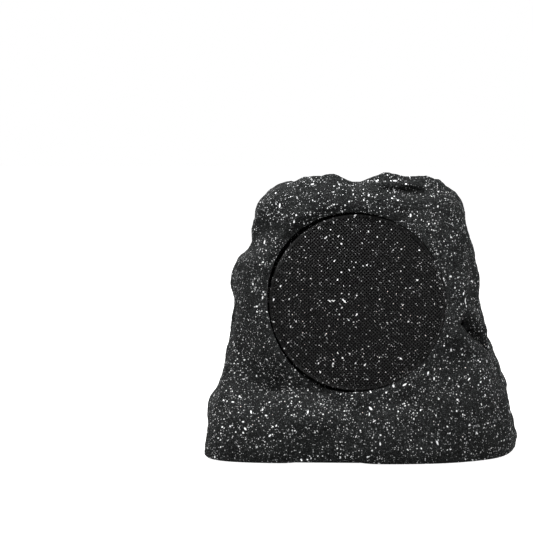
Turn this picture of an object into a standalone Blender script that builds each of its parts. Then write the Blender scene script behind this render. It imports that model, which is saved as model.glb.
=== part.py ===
"""A solar-charged garden loudspeaker in a moulded rock: one object for each piece.

Metres, +Z up. The grille faces -Y, the control plate faces +Y, and the ground is Z = 0.
The tables below are in millimetres, which MM turns into metres.
"""

import math

import bmesh
import bpy
from mathutils import Matrix, Vector

MM = 0.001
GAP = 0.3  # what neighbouring pieces leave between them

# Fineness of the meshes
COLUMNS = 40
ROWS = 18
CAVITY_COLUMNS = 24
CAVITY_ROWS = 10
FINE_STEPS = 28
ROUND_STEPS = 18
SMALL_STEPS = 8

# ---------------------------------------------------------------- the rock's form
# From the ground up: height at the front and at the back, then how far the rock
# reaches to the left, to the right, to the front and to the back.
STATIONS = (
    (1, 1, 128.0, 128.0, 102.0, 102.0),
    (12, 12, 129.0, 130.0, 103.5, 103.0),
    (32, 32, 126.5, 126.0, 102.0, 103.5),
    (52, 52, 122.5, 120.5, 96.0, 102.5),
    (67, 67, 116.5, 114.5, 90.5, 101.0),
    (84, 86, 110.0, 108.5, 87.0, 99.5),
    (105, 108, 107.5, 103.5, 84.0, 97.5),
    (125, 128, 107.0, 100.0, 80.5, 95.0),
    (142, 146, 106.5, 96.5, 77.5, 89.0),
    (156, 158, 102.5, 93.5, 75.5, 82.0),
    (167, 168, 92.0, 91.0, 73.0, 76.0),
    (182, 181, 90.0, 87.5, 70.0, 67.5),
    (200, 196, 88.0, 84.0, 66.0, 61.0),
    (211, 207, 81.0, 79.0, 62.0, 56.5),
    (217.5, 213, 71.5, 72.0, 57.5, 53.5),
    (222.5, 217, 62.0, 65.5, 53.0, 50.0),
    (226, 219.5, 53.0, 59.5, 49.0, 46.5),
)
CROWN_SHRINKS = (0.8, 0.5)  # rings that close the top, inside the last station
# How square each corner is in plan: at the ground, at the control plate and at the top
CORNERS = {
    (False, False): (6.4, 4.2, 4.0),  # front left
    (True, False): (2.7, 4.0, 4.0),  # front right
    (True, True): (2.6, 4.2, 3.8),  # back right
    (False, True): (2.9, 4.0, 3.8),  # back left
}
SQUAREST_AT = 0.34  # the share of the way up the stations that the plate lies at
# Places where the surface swells or sinks: the ends of the swelling's spine, how far
# it spreads and how far it pushes
LUMPS = (
    ((-5, -50, 229), (-5, -36, 229), 11, (0, 0, -9.0)),  # notch in the front crest
    ((-6, 40, 222), (-4, 50, 222), 18, (0, 0, -3.5)),  # dip in the back lip
    ((-24, -48, 227), (-20, -48, 227), 8, (0, 0, 3.0)),  # left crest
    ((22, -48, 228), (58, -44, 227), 12, (0, 0, 3.0)),  # right crest
    ((64, -30, 219), (64, 4, 217), 8, (0, 0, 2.0)),  # knob beside the panel
    ((-92, -84, 60), (-80, -88, 92), 20, (4, 7, 0)),  # hollow below the grille's left
    ((100, -30, 88), (108, 0, 104), 15, (-6, 4, 0)),  # crease in the right flank
    ((104, -62, 20), (92, -72, 60), 18, (3, -4, 0)),  # edge of the front's right corner
    ((56, 84, 138), (-22, 70, 180), 20, (0, 5, 2)),  # ridge across the back
    ((-46, 62, 176), (-34, 58, 204), 18, (0, -6, 0)),  # hollow under the back crest
)
WALL = 5.0
CREST_HEIGHT = 231.0

# ---------------------------------------------------------------- the three faces
# Each face has a frame: its origin on the rock's surface, and its local Z pointing out.
GRILLE_AT = (-3.0, -79.5, 128.0)
GRILLE_TILT = 10.0  # degrees that the grille looks up
PLATE_AT = (14.0, 98.5, 87.0)
PLATE_TILT = 4.0
PANEL_AT = (1.5, -1.5, 219.8)
PANEL_TILT = 6.0  # degrees that the panel falls to the back

GRILLE_FLAT_RADIUS = 77.0
GRILLE_FLAT_MARGIN = 24.0
LIP_LEFT = 5.0  # how far the rock stands proud of the grille's plane
LIP_RIGHT = 0.6
PLATE_FLAT = (134.0, 86.0)
PLATE_FLAT_MARGIN = 22.0

# ---------------------------------------------------------------- grille and driver
GRILLE_RADIUS = 70.5
GRILLE_SHEET = 1.0
GRILLE_RISE = 4.5
GRILLE_RIM = -1.5  # local height of the grille's edge
RECESS_RADIUS = 71.3
BAFFLE_FACE = -14.0
BAFFLE_BACK = -22.0
BAFFLE_RADIUS = 78.0
DRIVER_HOLE_RADIUS = 59.0
FLANGE_RADIUS = 67.0
FLANGE_TOP = -11.4
DRIVER_SCREW_CIRCLE = 63.0
BASKET_SLOPE = 30.6  # degrees between the basket's wall and the driver's axis
TERMINALS_AT = (53.3, 0.0, -28.9)

# ---------------------------------------------------------------- control plate
PLATE_SIZE = (130.0, 82.0)
PLATE_CORNER = 8.0
PLATE_FACE = -1.5
PLATE_BACK = -5.5
POCKET_SIZE = (131.4, 83.4)
POCKET_FLOOR = -7.1
LEDGE_BACK = -13.0
WINDOW_SIZE = (100.5, 54.5)
HOUSING_SIZE = (99.5, 53.5)
HOUSING_WALL = 2.5
HOUSING_BACK = -29.0
PLATE_SCREWS = ((-56, 32), (0, 34), (56, 32), (-56, -32), (0, -34), (56, -32))
WELL_FLOOR = -3.7
COVER_CENTRE_Y = 7.7
COVER_SIZE = (98.0, 35.0)
COVER_BOTTOM = -3.4
COVER_TOP = -0.7
COVER_CORNER = 4.0
HINGE_X = 44.35
TAB_SIZE = (5.0, 10.6)
BUTTONS = {"power": -11.3, "pair": 9.3, "mode": 30.1}  # local X of each
PAD_RADIUS = 7.0
KEY_RADIUS = 6.4
KEY_FLANGE_RADIUS = 8.0
USB_X = -31.0
USB_POCKET = (13.5, 8.5)
USB_MOUTH = -11.7
BOARD_TOP = -18.3
BOARD_BACK = -19.9
BOARD_SIZE = (92.0, 46.0)
BOARD_SCREWS = ((-42, 19), (42, 19), (-42, -19), (42, -19))

# ---------------------------------------------------------------- solar panel
PANEL_SIZE = (116.0, 68.2, 2.6)
PANEL_RECESS = (116.8, 69.0)
PANEL_LEDGE = -5.2
PANEL_TUB = (127.0, 79.0)
PANEL_TUB_BACK = -9.8
DRAIN_WIDTH = 13.0

# ---------------------------------------------------------------- base
PLATE_INSET = 8.4
BASE_BOTTOM = 11.0
BASE_TOP = 14.0
SEAL_TOP = 15.3
LEDGE_TOP = 19.6
BOSS_TOP = 38.0
BOSS_RADIUS = 5.5
BASE_SCREW_ANGLES = (0, 62, 118, 180, 242, 298)  # degrees about +Z
BASE_SCREW_INSET = 14.0
NOTCH_RADIUS = 10.5
FEET = {
    "front_left": (-88, -66),
    "front_right": (84, -66),
    "rear_left": (-76, 62),
    "rear_right": (76, 62),
}
FOOT_RADIUS = 10.0

# ---------------------------------------------------------------- battery
CELL_RADIUS = 9.2
CELL_LENGTH = 65.0
CRADLE_SIZE = (72.0, 43.0, 13.0)
CRADLE_AT = (0.0, 30.0)

COLOURS = {
    "rock": (0.030, 0.031, 0.031),
    "black_plastic": (0.022, 0.023, 0.023),
    "silicone": (0.24, 0.24, 0.24),
    "black_steel": (0.020, 0.020, 0.020),
    "rubber": (0.012, 0.012, 0.012),
    "paper": (0.03, 0.03, 0.03),
    "steel": (0.45, 0.45, 0.46),
    "ferrite": (0.05, 0.05, 0.055),
    "copper": (0.55, 0.25, 0.12),
    "solar": (0.02, 0.025, 0.05),
    "circuit": (0.02, 0.12, 0.05),
    "cell": (0.05, 0.16, 0.42),
    "cloth": (0.01, 0.01, 0.01),
    "screw": (0.03, 0.03, 0.03),
}
METALLIC = {"steel", "copper", "screw", "black_steel"}
# Pieces that the exact Boolean solver leaves with open edges
NEEDS_MANIFOLD = {"cavity", "rock_shell", "control_plate", "main_board", "port_cover"}


# ================================================================ small tools
def material(name):
    """The material of that name from COLOURS, made once."""
    found = bpy.data.materials.get(name)
    if found:
        return found
    made = bpy.data.materials.new(name)
    made.use_nodes = True
    shader = made.node_tree.nodes["Principled BSDF"]
    shader.inputs["Base Color"].default_value = (*COLOURS[name], 1)
    shader.inputs["Roughness"].default_value = 0.4 if name in METALLIC else 0.7
    shader.inputs["Metallic"].default_value = 1.0 if name in METALLIC else 0.0
    return made


def collection(name):
    made = bpy.data.collections.new(name)
    bpy.context.scene.collection.children.link(made)
    return made


def add(name, mesh, finish=None, frame=None):
    """A new object in PARTS, or among the cutters where it has no finish."""
    obj = bpy.data.objects.new(name, mesh)
    if finish:
        PARTS.objects.link(obj)
        mesh.materials.append(material(finish))
    else:
        CUTTERS.objects.link(obj)
        obj.hide_render = True
        obj.display_type = "WIRE"
    obj.parent = frame
    return obj


def combine(target, operation, other):
    modifier = target.modifiers.new(f"{operation} {other.name}", "BOOLEAN")
    modifier.operation = operation
    if target.name in NEEDS_MANIFOLD:
        modifier.solver = "MANIFOLD"
    modifier.object = other
    return target


def cut(target, *others):
    for other in others:
        combine(target, "DIFFERENCE", other)
    return target


def join(target, *others):
    for other in others:
        combine(target, "UNION", other)
    return target


def frame_empty(name, at, tilt_x, turn_z=0.0):
    """An empty on one of the rock's faces, its local Z pointing out of the rock."""
    empty = bpy.data.objects.new(name, None)
    PARTS.objects.link(empty)
    empty.location = Vector(at) * MM
    empty.rotation_euler = (math.radians(tilt_x), 0, math.radians(turn_z))
    return empty


def round_smooth(obj, angle=35.0):
    obj.data.shade_smooth()
    obj.data.set_sharp_from_angle(angle=math.radians(angle))
    return obj


def circle(radius, centre=(0, 0), steps=SMALL_STEPS):
    turn = 2 * math.pi / steps
    return [
        (centre[0] + radius * math.cos(i * turn), centre[1] + radius * math.sin(i * turn))
        for i in range(steps)
    ]


def rounded_rectangle(width, height, radius, centre=(0, 0), steps=4):
    points = []
    for quarter in range(4):
        side_x = 1 if quarter in (0, 3) else -1
        side_y = 1 if quarter < 2 else -1
        corner_x = centre[0] + side_x * (width / 2 - radius)
        corner_y = centre[1] + side_y * (height / 2 - radius)
        for i in range(steps + 1):
            angle = math.pi / 2 * (quarter + i / steps)
            points.append(
                (corner_x + radius * math.cos(angle), corner_y + radius * math.sin(angle))
            )
    return points


def plate(name, outlines, low, high, finish=None, frame=None):
    """A flat piece between two local heights. The first outline is its edge, the rest holes."""
    curve = bpy.data.curves.new(name, "CURVE")
    curve.dimensions = "2D"
    curve.fill_mode = "BOTH"
    curve.extrude = (high - low) / 2 * MM
    for outline in outlines:
        spline = curve.splines.new("POLY")
        spline.points.add(len(outline) - 1)
        for point, (x, y) in zip(spline.points, outline, strict=True):
            point.co = (x * MM, y * MM, 0, 1)
        spline.use_cyclic_u = True
    mesh = mesh_of_curve(name, curve)
    mesh.transform(Matrix.Translation((0, 0, (low + high) / 2 * MM)))
    return add(name, mesh, finish, frame)


def mesh_of_curve(name, curve):
    """The curve's surface as a mesh whose caps are welded to its sides."""
    guide = bpy.data.objects.new(name + "_curve", curve)
    bpy.context.scene.collection.objects.link(guide)
    graph = bpy.context.evaluated_depsgraph_get()
    mesh = bpy.data.meshes.new_from_object(guide.evaluated_get(graph))
    bpy.data.objects.remove(guide)
    bm = bmesh.new()
    bm.from_mesh(mesh)
    bmesh.ops.remove_doubles(bm, verts=bm.verts, dist=0.005 * MM)
    bmesh.ops.recalc_face_normals(bm, faces=bm.faces)
    bm.to_mesh(mesh)
    bm.free()
    mesh.name = name
    return mesh


def box(name, size, centre, finish=None, frame=None):
    bm = bmesh.new()
    bmesh.ops.create_cube(bm, size=1.0)
    bmesh.ops.scale(bm, vec=Vector(size) * MM, verts=bm.verts)
    bmesh.ops.translate(bm, vec=Vector(centre) * MM, verts=bm.verts)
    mesh = bpy.data.meshes.new(name)
    bm.to_mesh(mesh)
    bm.free()
    return add(name, mesh, finish, frame)


def cylinder(name, radius, low, high, at=(0, 0), steps=SMALL_STEPS, finish=None, frame=None):
    bm = bmesh.new()
    bmesh.ops.create_cone(
        bm,
        cap_ends=True,
        segments=steps,
        radius1=radius * MM,
        radius2=radius * MM,
        depth=(high - low) * MM,
    )
    bmesh.ops.translate(bm, vec=Vector((*at, (low + high) / 2)) * MM, verts=bm.verts)
    mesh = bpy.data.meshes.new(name)
    bm.to_mesh(mesh)
    bm.free()
    return add(name, mesh, finish, frame)


def turned(name, profile, finish=None, frame=None, steps=ROUND_STEPS, at=(0, 0)):
    """A solid of revolution about local Z. A profile that starts on the axis ends there too;
    any other closes on itself. At +X it runs down its outer side."""
    points = [(x * MM, 0, z * MM) for x, z in profile]
    edges = [(i, i + 1) for i in range(len(points) - 1)]
    if profile[0][0] > 0:
        edges.append((len(points) - 1, 0))
    mesh = bpy.data.meshes.new(name)
    mesh.from_pydata(points, edges, [])
    obj = add(name, mesh, finish, frame)
    obj.location = (at[0] * MM, at[1] * MM, 0)
    screw = obj.modifiers.new("turn", "SCREW")
    screw.axis = "Z"
    screw.steps = steps
    screw.render_steps = steps
    screw.use_smooth_shade = True
    screw.use_merge_vertices = True
    screw.merge_threshold = 0.02 * MM
    return obj


def screw_fastener(name, at, head_radius, head_top, head_height, length, frame=None, flip=1):
    """A pan-head screw whose shank runs along local -Z, or along +Z where flip is -1."""
    shank = 1.5
    profile = [
        (0, head_top),
        (head_radius * 0.8, head_top),
        (head_radius, head_top - head_height * 0.5),
        (head_radius, head_top - head_height),
        (shank, head_top - head_height),
        (shank, head_top - length),
        (0, head_top - length),
    ]
    if flip < 0:
        profile = [(x, -z) for x, z in reversed(profile)]
    return turned(name, profile, "screw", frame, steps=SMALL_STEPS, at=at)


# ================================================================ the rock's surface
def catmull(before, low, high, after, f):
    """A smooth value between low and high, f of the way along."""
    return 0.5 * (
        2 * low
        + (high - before) * f
        + (2 * before - 5 * low + 4 * high - after) * f * f
        + (3 * low - before - 3 * high + after) * f**3
    )


def station(t):
    """The station at t, which counts along STATIONS and needn't be whole."""
    last = len(STATIONS) - 1
    i = min(int(t), last - 1)
    rows = [STATIONS[min(max(k, 0), last)] for k in (i - 1, i, i + 1, i + 2)]
    return [catmull(*values, t - i) for values in zip(*rows, strict=True)]


def smooth_step(x):
    x = min(max(x, 0.0), 1.0)
    return x * x * (3 - 2 * x)


def face_frame(at, tilt_x, turn_z=0.0):
    """The matrix from a face's local millimetres to the rock's millimetres."""
    turn = Matrix.Rotation(math.radians(turn_z), 4, "Z")
    tilt = Matrix.Rotation(math.radians(tilt_x), 4, "X")
    return Matrix.Translation(at) @ turn @ tilt


GRILLE_FRAME = face_frame(GRILLE_AT, 90 - GRILLE_TILT)
PLATE_FRAME = face_frame(PLATE_AT, 90 - PLATE_TILT, 180)


def near_spine(point, start, end):
    """How far the point is from the segment between start and end."""
    start, end = Vector(start), Vector(end)
    along = end - start
    share = min(max((point - start).dot(along) / along.length_squared, 0), 1)
    return (point - start - along * share).length


def press_flat(point, frame, outside, margin, level):
    """Moves the point to a face's level, wholly inside its outline and less beyond it."""
    local = frame.inverted() @ point
    weight = 1 - smooth_step(outside(local) / margin)
    if local.z < -margin - WALL or weight <= 0:
        return point
    local.z += (level(local) - local.z) * weight
    return frame @ local


def grille_outside(local):
    return math.hypot(local.x, local.y) - GRILLE_FLAT_RADIUS


def grille_level(local):
    across = local.x / max(math.hypot(local.x, local.y), 1e-6)
    return (LIP_LEFT + LIP_RIGHT) / 2 - (LIP_LEFT - LIP_RIGHT) / 2 * across


def plate_outside(local):
    return math.hypot(
        max(abs(local.x) - PLATE_FLAT[0] / 2, 0), max(abs(local.y) - PLATE_FLAT[1] / 2, 0)
    )


def rock_point(angle, t, inset=0.0, shrink=1.0):
    """A point of the rock's surface, in millimetres, or of one that lies inset within it."""
    z_front, z_back, left, right, front, back = station(t)
    c, s = math.cos(angle), math.sin(angle)
    ground, middle, top = CORNERS[(c > 0, s > 0)]
    share = t / (len(STATIONS) - 1)
    square = ground + (middle - ground) * smooth_step(share / SQUAREST_AT)
    square += (top - middle) * smooth_step((share - SQUAREST_AT) / (1 - SQUAREST_AT))
    reach_x = (right if c > 0 else left) - inset
    reach_y = (back if s > 0 else front) - inset
    reach = (abs(c / reach_x) ** square + abs(s / reach_y) ** square) ** (-1 / square)
    x, y = reach * c * shrink, reach * s * shrink
    z = z_front + (z_back - z_front) * (y + front) / (front + back)
    z *= (CREST_HEIGHT - inset) / CREST_HEIGHT
    point = Vector((x, y, z))
    moved = point.copy()
    for start, end, spread, push in LUMPS:
        away = near_spine(point, start, end) / spread
        moved += Vector(push) * math.exp(-away * away)
    moved = press_flat(
        moved,
        GRILLE_FRAME,
        grille_outside,
        GRILLE_FLAT_MARGIN,
        lambda local: grille_level(local) - inset,
    )
    return press_flat(
        moved, PLATE_FRAME, plate_outside, PLATE_FLAT_MARGIN, lambda local: -inset
    )


def rock_loft(name, columns, rows, inset=0.0, foot=None, finish=None):
    """The rock as a closed loft of rings, its foot closed by a flat face."""
    top = len(STATIONS) - 1
    rings = []
    for row in range(rows + 1):
        rings.append([rock_point(a, top * row / rows, inset) for a in ring_angles(columns)])
    for shrink in CROWN_SHRINKS:
        rings.append([rock_point(a, top, inset, shrink) for a in ring_angles(columns)])
    if foot is not None:
        rings.insert(0, [Vector((p.x, p.y, foot)) for p in rings[0]])
    bm = bmesh.new()
    loops = [[bm.verts.new(p * MM) for p in ring] for ring in rings]
    for lower, upper in zip(loops, loops[1:], strict=False):
        for i in range(columns):
            j = (i + 1) % columns
            bm.faces.new((lower[i], lower[j], upper[j], upper[i]))
    bm.faces.new(reversed(loops[0]))
    centre = sum((v.co for v in loops[-1]), Vector()) / columns
    peak = bm.verts.new(centre)
    for i in range(columns):
        bm.faces.new((loops[-1][i], loops[-1][(i + 1) % columns], peak))
    mesh = bpy.data.meshes.new(name)
    bm.to_mesh(mesh)
    bm.free()
    return add(name, mesh, finish)


def ring_angles(columns):
    return [2 * math.pi * i / columns for i in range(columns)]


def plan_outline(height, inset, columns=CAVITY_COLUMNS):
    """The rock's outline near the ground, in plan, inset by that much."""
    heights = [row[0] for row in STATIONS]
    i = max(k for k, z in enumerate(heights) if z <= height)
    t = i + (height - heights[i]) / (heights[i + 1] - heights[i])
    points = [rock_point(a, t, inset) for a in ring_angles(columns)]
    return [(p.x, p.y) for p in points]


# ================================================================ housing
def base_screw_places():
    places = []
    for degrees in BASE_SCREW_ANGLES:
        p = rock_point(math.radians(degrees), 1, BASE_SCREW_INSET)
        places.append((p.x, p.y))
    return places


def make_cavity():
    """The rock's hollow, less the walls that carry the baffle, plate, panel and base."""
    cavity = rock_loft("cavity", CAVITY_COLUMNS, CAVITY_ROWS, WALL, foot=-6.0)
    cut(
        cavity,
        cylinder(
            "baffle_block", BAFFLE_RADIUS, BAFFLE_BACK, 30, steps=FINE_STEPS, frame=GRILLE
        ),
        plate(
            "plate_block",
            [rounded_rectangle(PLATE_SIZE[0] + 13, PLATE_SIZE[1] + 12, 12)],
            LEDGE_BACK,
            30,
            frame=CONTROL,
        ),
        plate(
            "panel_block",
            [rounded_rectangle(*PANEL_TUB, 6)],
            PANEL_TUB_BACK,
            30,
            frame=PANEL,
        ),
        plate(
            "base_ledge",
            [plan_outline(SEAL_TOP, -4), plan_outline(SEAL_TOP, 13)],
            SEAL_TOP + GAP,
            LEDGE_TOP,
        ),
    )
    for i, at in enumerate(base_screw_places(), 1):
        cut(cavity, cylinder(f"boss_{i}", BOSS_RADIUS, LEDGE_TOP - 1, BOSS_TOP, at=at))
    return cavity


def make_rock_shell():
    shell = rock_loft("rock_shell", COLUMNS, ROWS, finish="rock")
    cut(
        shell,
        make_cavity(),
        cylinder(
            "grille_recess", RECESS_RADIUS, BAFFLE_FACE, 30, steps=FINE_STEPS, frame=GRILLE
        ),
        cylinder(
            "driver_hole", DRIVER_HOLE_RADIUS, -40, 30, steps=FINE_STEPS, frame=GRILLE
        ),
        plate(
            "plate_pocket",
            [rounded_rectangle(*POCKET_SIZE, PLATE_CORNER + 0.7)],
            POCKET_FLOOR,
            30,
            frame=CONTROL,
        ),
        plate("plate_window", [rounded_rectangle(*WINDOW_SIZE, 4)], -30, 30, frame=CONTROL),
        plate(
            "panel_recess", [rounded_rectangle(*PANEL_RECESS, 1.5)], PANEL_LEDGE, 30, frame=PANEL
        ),
        cylinder("panel_cable_hole", 4.0, -30, 10, at=(0, 12), frame=PANEL),
    )
    for side in (-1, 1):
        centre = (side * (PANEL_RECESS[0] - DRAIN_WIDTH) / 2, PANEL_RECESS[1] / 2 + 15, 14.2)
        cut(shell, box(f"panel_drain_{side + 2}", (DRAIN_WIDTH, 36, 30), centre, frame=PANEL))
    notch = cylinder("cable_notch", NOTCH_RADIUS, 80, 120, steps=ROUND_STEPS)
    notch.rotation_euler = (math.radians(-90), 0, 0)
    cut(shell, notch)
    for i, at in enumerate(screw_circle(), 1):
        cut(shell, cylinder(f"driver_pilot_{i}", 1.9, -21, 0, at=at, frame=GRILLE))
    for i, at in enumerate(PLATE_SCREWS, 1):
        cut(shell, cylinder(f"plate_pilot_{i}", 1.9, -12, 0, at=at, frame=CONTROL))
    for i, at in enumerate(base_screw_places(), 1):
        cut(shell, cylinder(f"base_pilot_{i}", 1.9, 0, 33, at=at))
    return round_smooth(shell)


def make_base():
    places = base_screw_places()
    holes = [circle(2.0, at) for at in places]
    outline = plan_outline(12, PLATE_INSET)
    plate("base_plate", [outline, *holes], BASE_BOTTOM, BASE_TOP, "black_plastic")
    plate(
        "base_seal",
        [plan_outline(12, PLATE_INSET + 1), plan_outline(12, 18), *holes],
        BASE_TOP + GAP,
        SEAL_TOP,
        "rubber",
    )
    for i, at in enumerate(places, 1):
        screw_fastener(f"base_screw_{i}", at, 3.8, -BASE_BOTTOM + GAP + 2.4, 2.4, 22, flip=-1)
    for name, at in FEET.items():
        profile = [
            (0, BASE_BOTTOM - GAP),
            (FOOT_RADIUS, BASE_BOTTOM - GAP),
            (FOOT_RADIUS, 1.5),
            (FOOT_RADIUS - 1.5, 0),
            (0, 0),
        ]
        turned(f"foot_{name}", profile, "rubber", steps=16, at=at)


# ================================================================ driver
def screw_circle():
    return [
        (DRIVER_SCREW_CIRCLE * math.cos(a), DRIVER_SCREW_CIRCLE * math.sin(a))
        for a in (math.radians(45 + 90 * k) for k in range(4))
    ]


def dome_height(radius, top, edge, reach):
    """The height of a shallow dome at that radius."""
    return edge + (top - edge) * (1 - (radius / reach) ** 2)


def domed_sheet(top, edge, reach, sheet, skirt):
    """The profile of a domed disc whose rim turns down to the skirt's height."""
    radii = [0, 0.35 * reach, 0.7 * reach, reach - 1]
    outer = [(r, dome_height(r, top, edge, reach)) for r in radii]
    inner = [(min(r, reach - sheet), z - sheet) for r, z in reversed(outer)]
    return [*outer, (reach, edge - 0.8), (reach, skirt), (reach - sheet, skirt), *inner]


def make_grille():
    top = GRILLE_RIM + GRILLE_RISE
    profile = domed_sheet(
        top, GRILLE_RIM, GRILLE_RADIUS, GRILLE_SHEET, BAFFLE_FACE + GAP
    )
    turned("grille", profile, "black_steel", GRILLE, FINE_STEPS)
    reach = GRILLE_RADIUS - GRILLE_SHEET - GAP
    drop = GRILLE_SHEET + GAP
    radii = [0, 0.35 * reach, 0.7 * reach, reach - 1]
    upper = [(r, dome_height(r, top - drop, GRILLE_RIM - drop - 0.3, reach)) for r in radii]
    lower = [(r, z - 0.5) for r, z in reversed(upper)]
    turned("grille_cloth", [*upper, *lower], "cloth", GRILLE)


def make_driver():
    seal = [circle(FLANGE_RADIUS - 0.5, steps=ROUND_STEPS), circle(59.6, steps=ROUND_STEPS)]
    seal += [circle(1.9, at) for at in screw_circle()]
    seal_top = FLANGE_TOP - 1.2 - GAP
    plate("driver_seal", seal, BAFFLE_FACE + GAP, seal_top, "rubber", GRILLE)

    flange_under = FLANGE_TOP - 1.2
    basket = turned(
        "driver_basket",
        [
            (57.0, FLANGE_TOP),
            (FLANGE_RADIUS, FLANGE_TOP),
            (FLANGE_RADIUS, flange_under),
            (58.4, flange_under),
            (57.0, -19.0),
            (46.0, -37.6),
            (41.8, -38.2),
            (40.8, -48.2),
            (17.0, -48.2),
            (17.0, -47.0),
            (39.6, -47.0),
            (40.6, -36.8),
            (44.8, -36.2),
            (55.8, -18.6),
        ],
        "black_steel",
        GRILLE,
    )
    for k in range(3):
        window = box(f"basket_window_{k + 1}", (130, 26, 12), (0, 0, -28), frame=GRILLE)
        window.rotation_euler = (0, 0, math.radians(30 + 60 * k))
        cut(basket, window)
    for i, at in enumerate(screw_circle(), 1):
        cut(basket, cylinder(f"basket_hole_{i}", 1.9, -16, -8, at=at, frame=GRILLE))

    surround = [
        (44.8, -9.5),
        (47.2, -9.5),
        (48.4, -7.2),
        (52.0, -5.9),
        (55.6, -7.2),
        (57.0, -10.5),
        (59.2, -10.5),
        (59.2, -11.1),
        (56.6, -11.1),
        (55.1, -7.8),
        (52.0, -6.6),
        (48.9, -7.8),
        (47.6, -10.1),
        (44.8, -10.1),
    ]
    turned("driver_surround", surround, "rubber", GRILLE, FINE_STEPS)
    cone = [
        (44.4, -10.4),
        (47.2, -10.4),
        (47.2, -11.1),
        (44.8, -11.2),
        (30.0, -20.6),
        (13.5, -29.8),
        (13.5, -28.9),
        (29.6, -19.9),
    ]
    turned("driver_cone", cone, "paper", GRILLE, FINE_STEPS)
    cap = [
        (0, -20.4),
        (6, -20.9),
        (12, -22.6),
        (16.6, -26.0),
        (16.0, -26.5),
        (11.6, -23.4),
        (5.8, -21.6),
        (0, -21.1),
    ]
    turned("dust_cap", cap, "rubber", GRILLE)
    coil = [
        (12.6, -27.4),
        (13.2, -27.4),
        (13.2, -44.0),
        (13.7, -44.0),
        (13.7, -56.0),
        (12.6, -56.0),
    ]
    turned("voice_coil", coil, "copper", GRILLE)
    spider = [
        (13.6, -36.0),
        (20.0, -33.6),
        (26.0, -36.2),
        (33.0, -33.6),
        (40.0, -35.9),
        (44.4, -35.6),
        (44.4, -36.1),
        (40.0, -36.4),
        (33.0, -34.2),
        (26.0, -36.8),
        (20.0, -34.2),
        (13.6, -36.6),
    ]
    turned("spider", spider, "paper", GRILLE)
    front_plate = [(14.4, -48.5), (40, -48.5), (40, -53.5), (14.4, -53.5)]
    turned("front_plate", front_plate, "steel", GRILLE)
    magnet = [(20, -53.8), (45, -53.8), (45, -68.8), (20, -68.8)]
    turned("magnet", magnet, "ferrite", GRILLE)
    yoke = [(0, -48.5), (11.8, -48.5), (11.8, -69.1), (42, -69.1), (42, -74.1), (0, -74.1)]
    turned("yoke", yoke, "steel", GRILLE)
    terminals = box("driver_terminals", (3, 16, 9), (0, 0, 0), "black_plastic", GRILLE)
    tags = [box(f"tag_{i}", (5, 5, 1), (3.5, i * 9 - 13.5, -2), frame=GRILLE) for i in (1, 2)]
    join(terminals, *tags)
    for piece in (terminals, *tags):
        piece.location = Vector(TERMINALS_AT) * MM
        piece.rotation_euler = (0, math.radians(BASKET_SLOPE), 0)
    for i, at in enumerate(screw_circle(), 1):
        screw_fastener(
            f"driver_screw_{i}", at, 3.2, FLANGE_TOP + GAP + 2.2, 2.2, 10.5, GRILLE
        )


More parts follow.
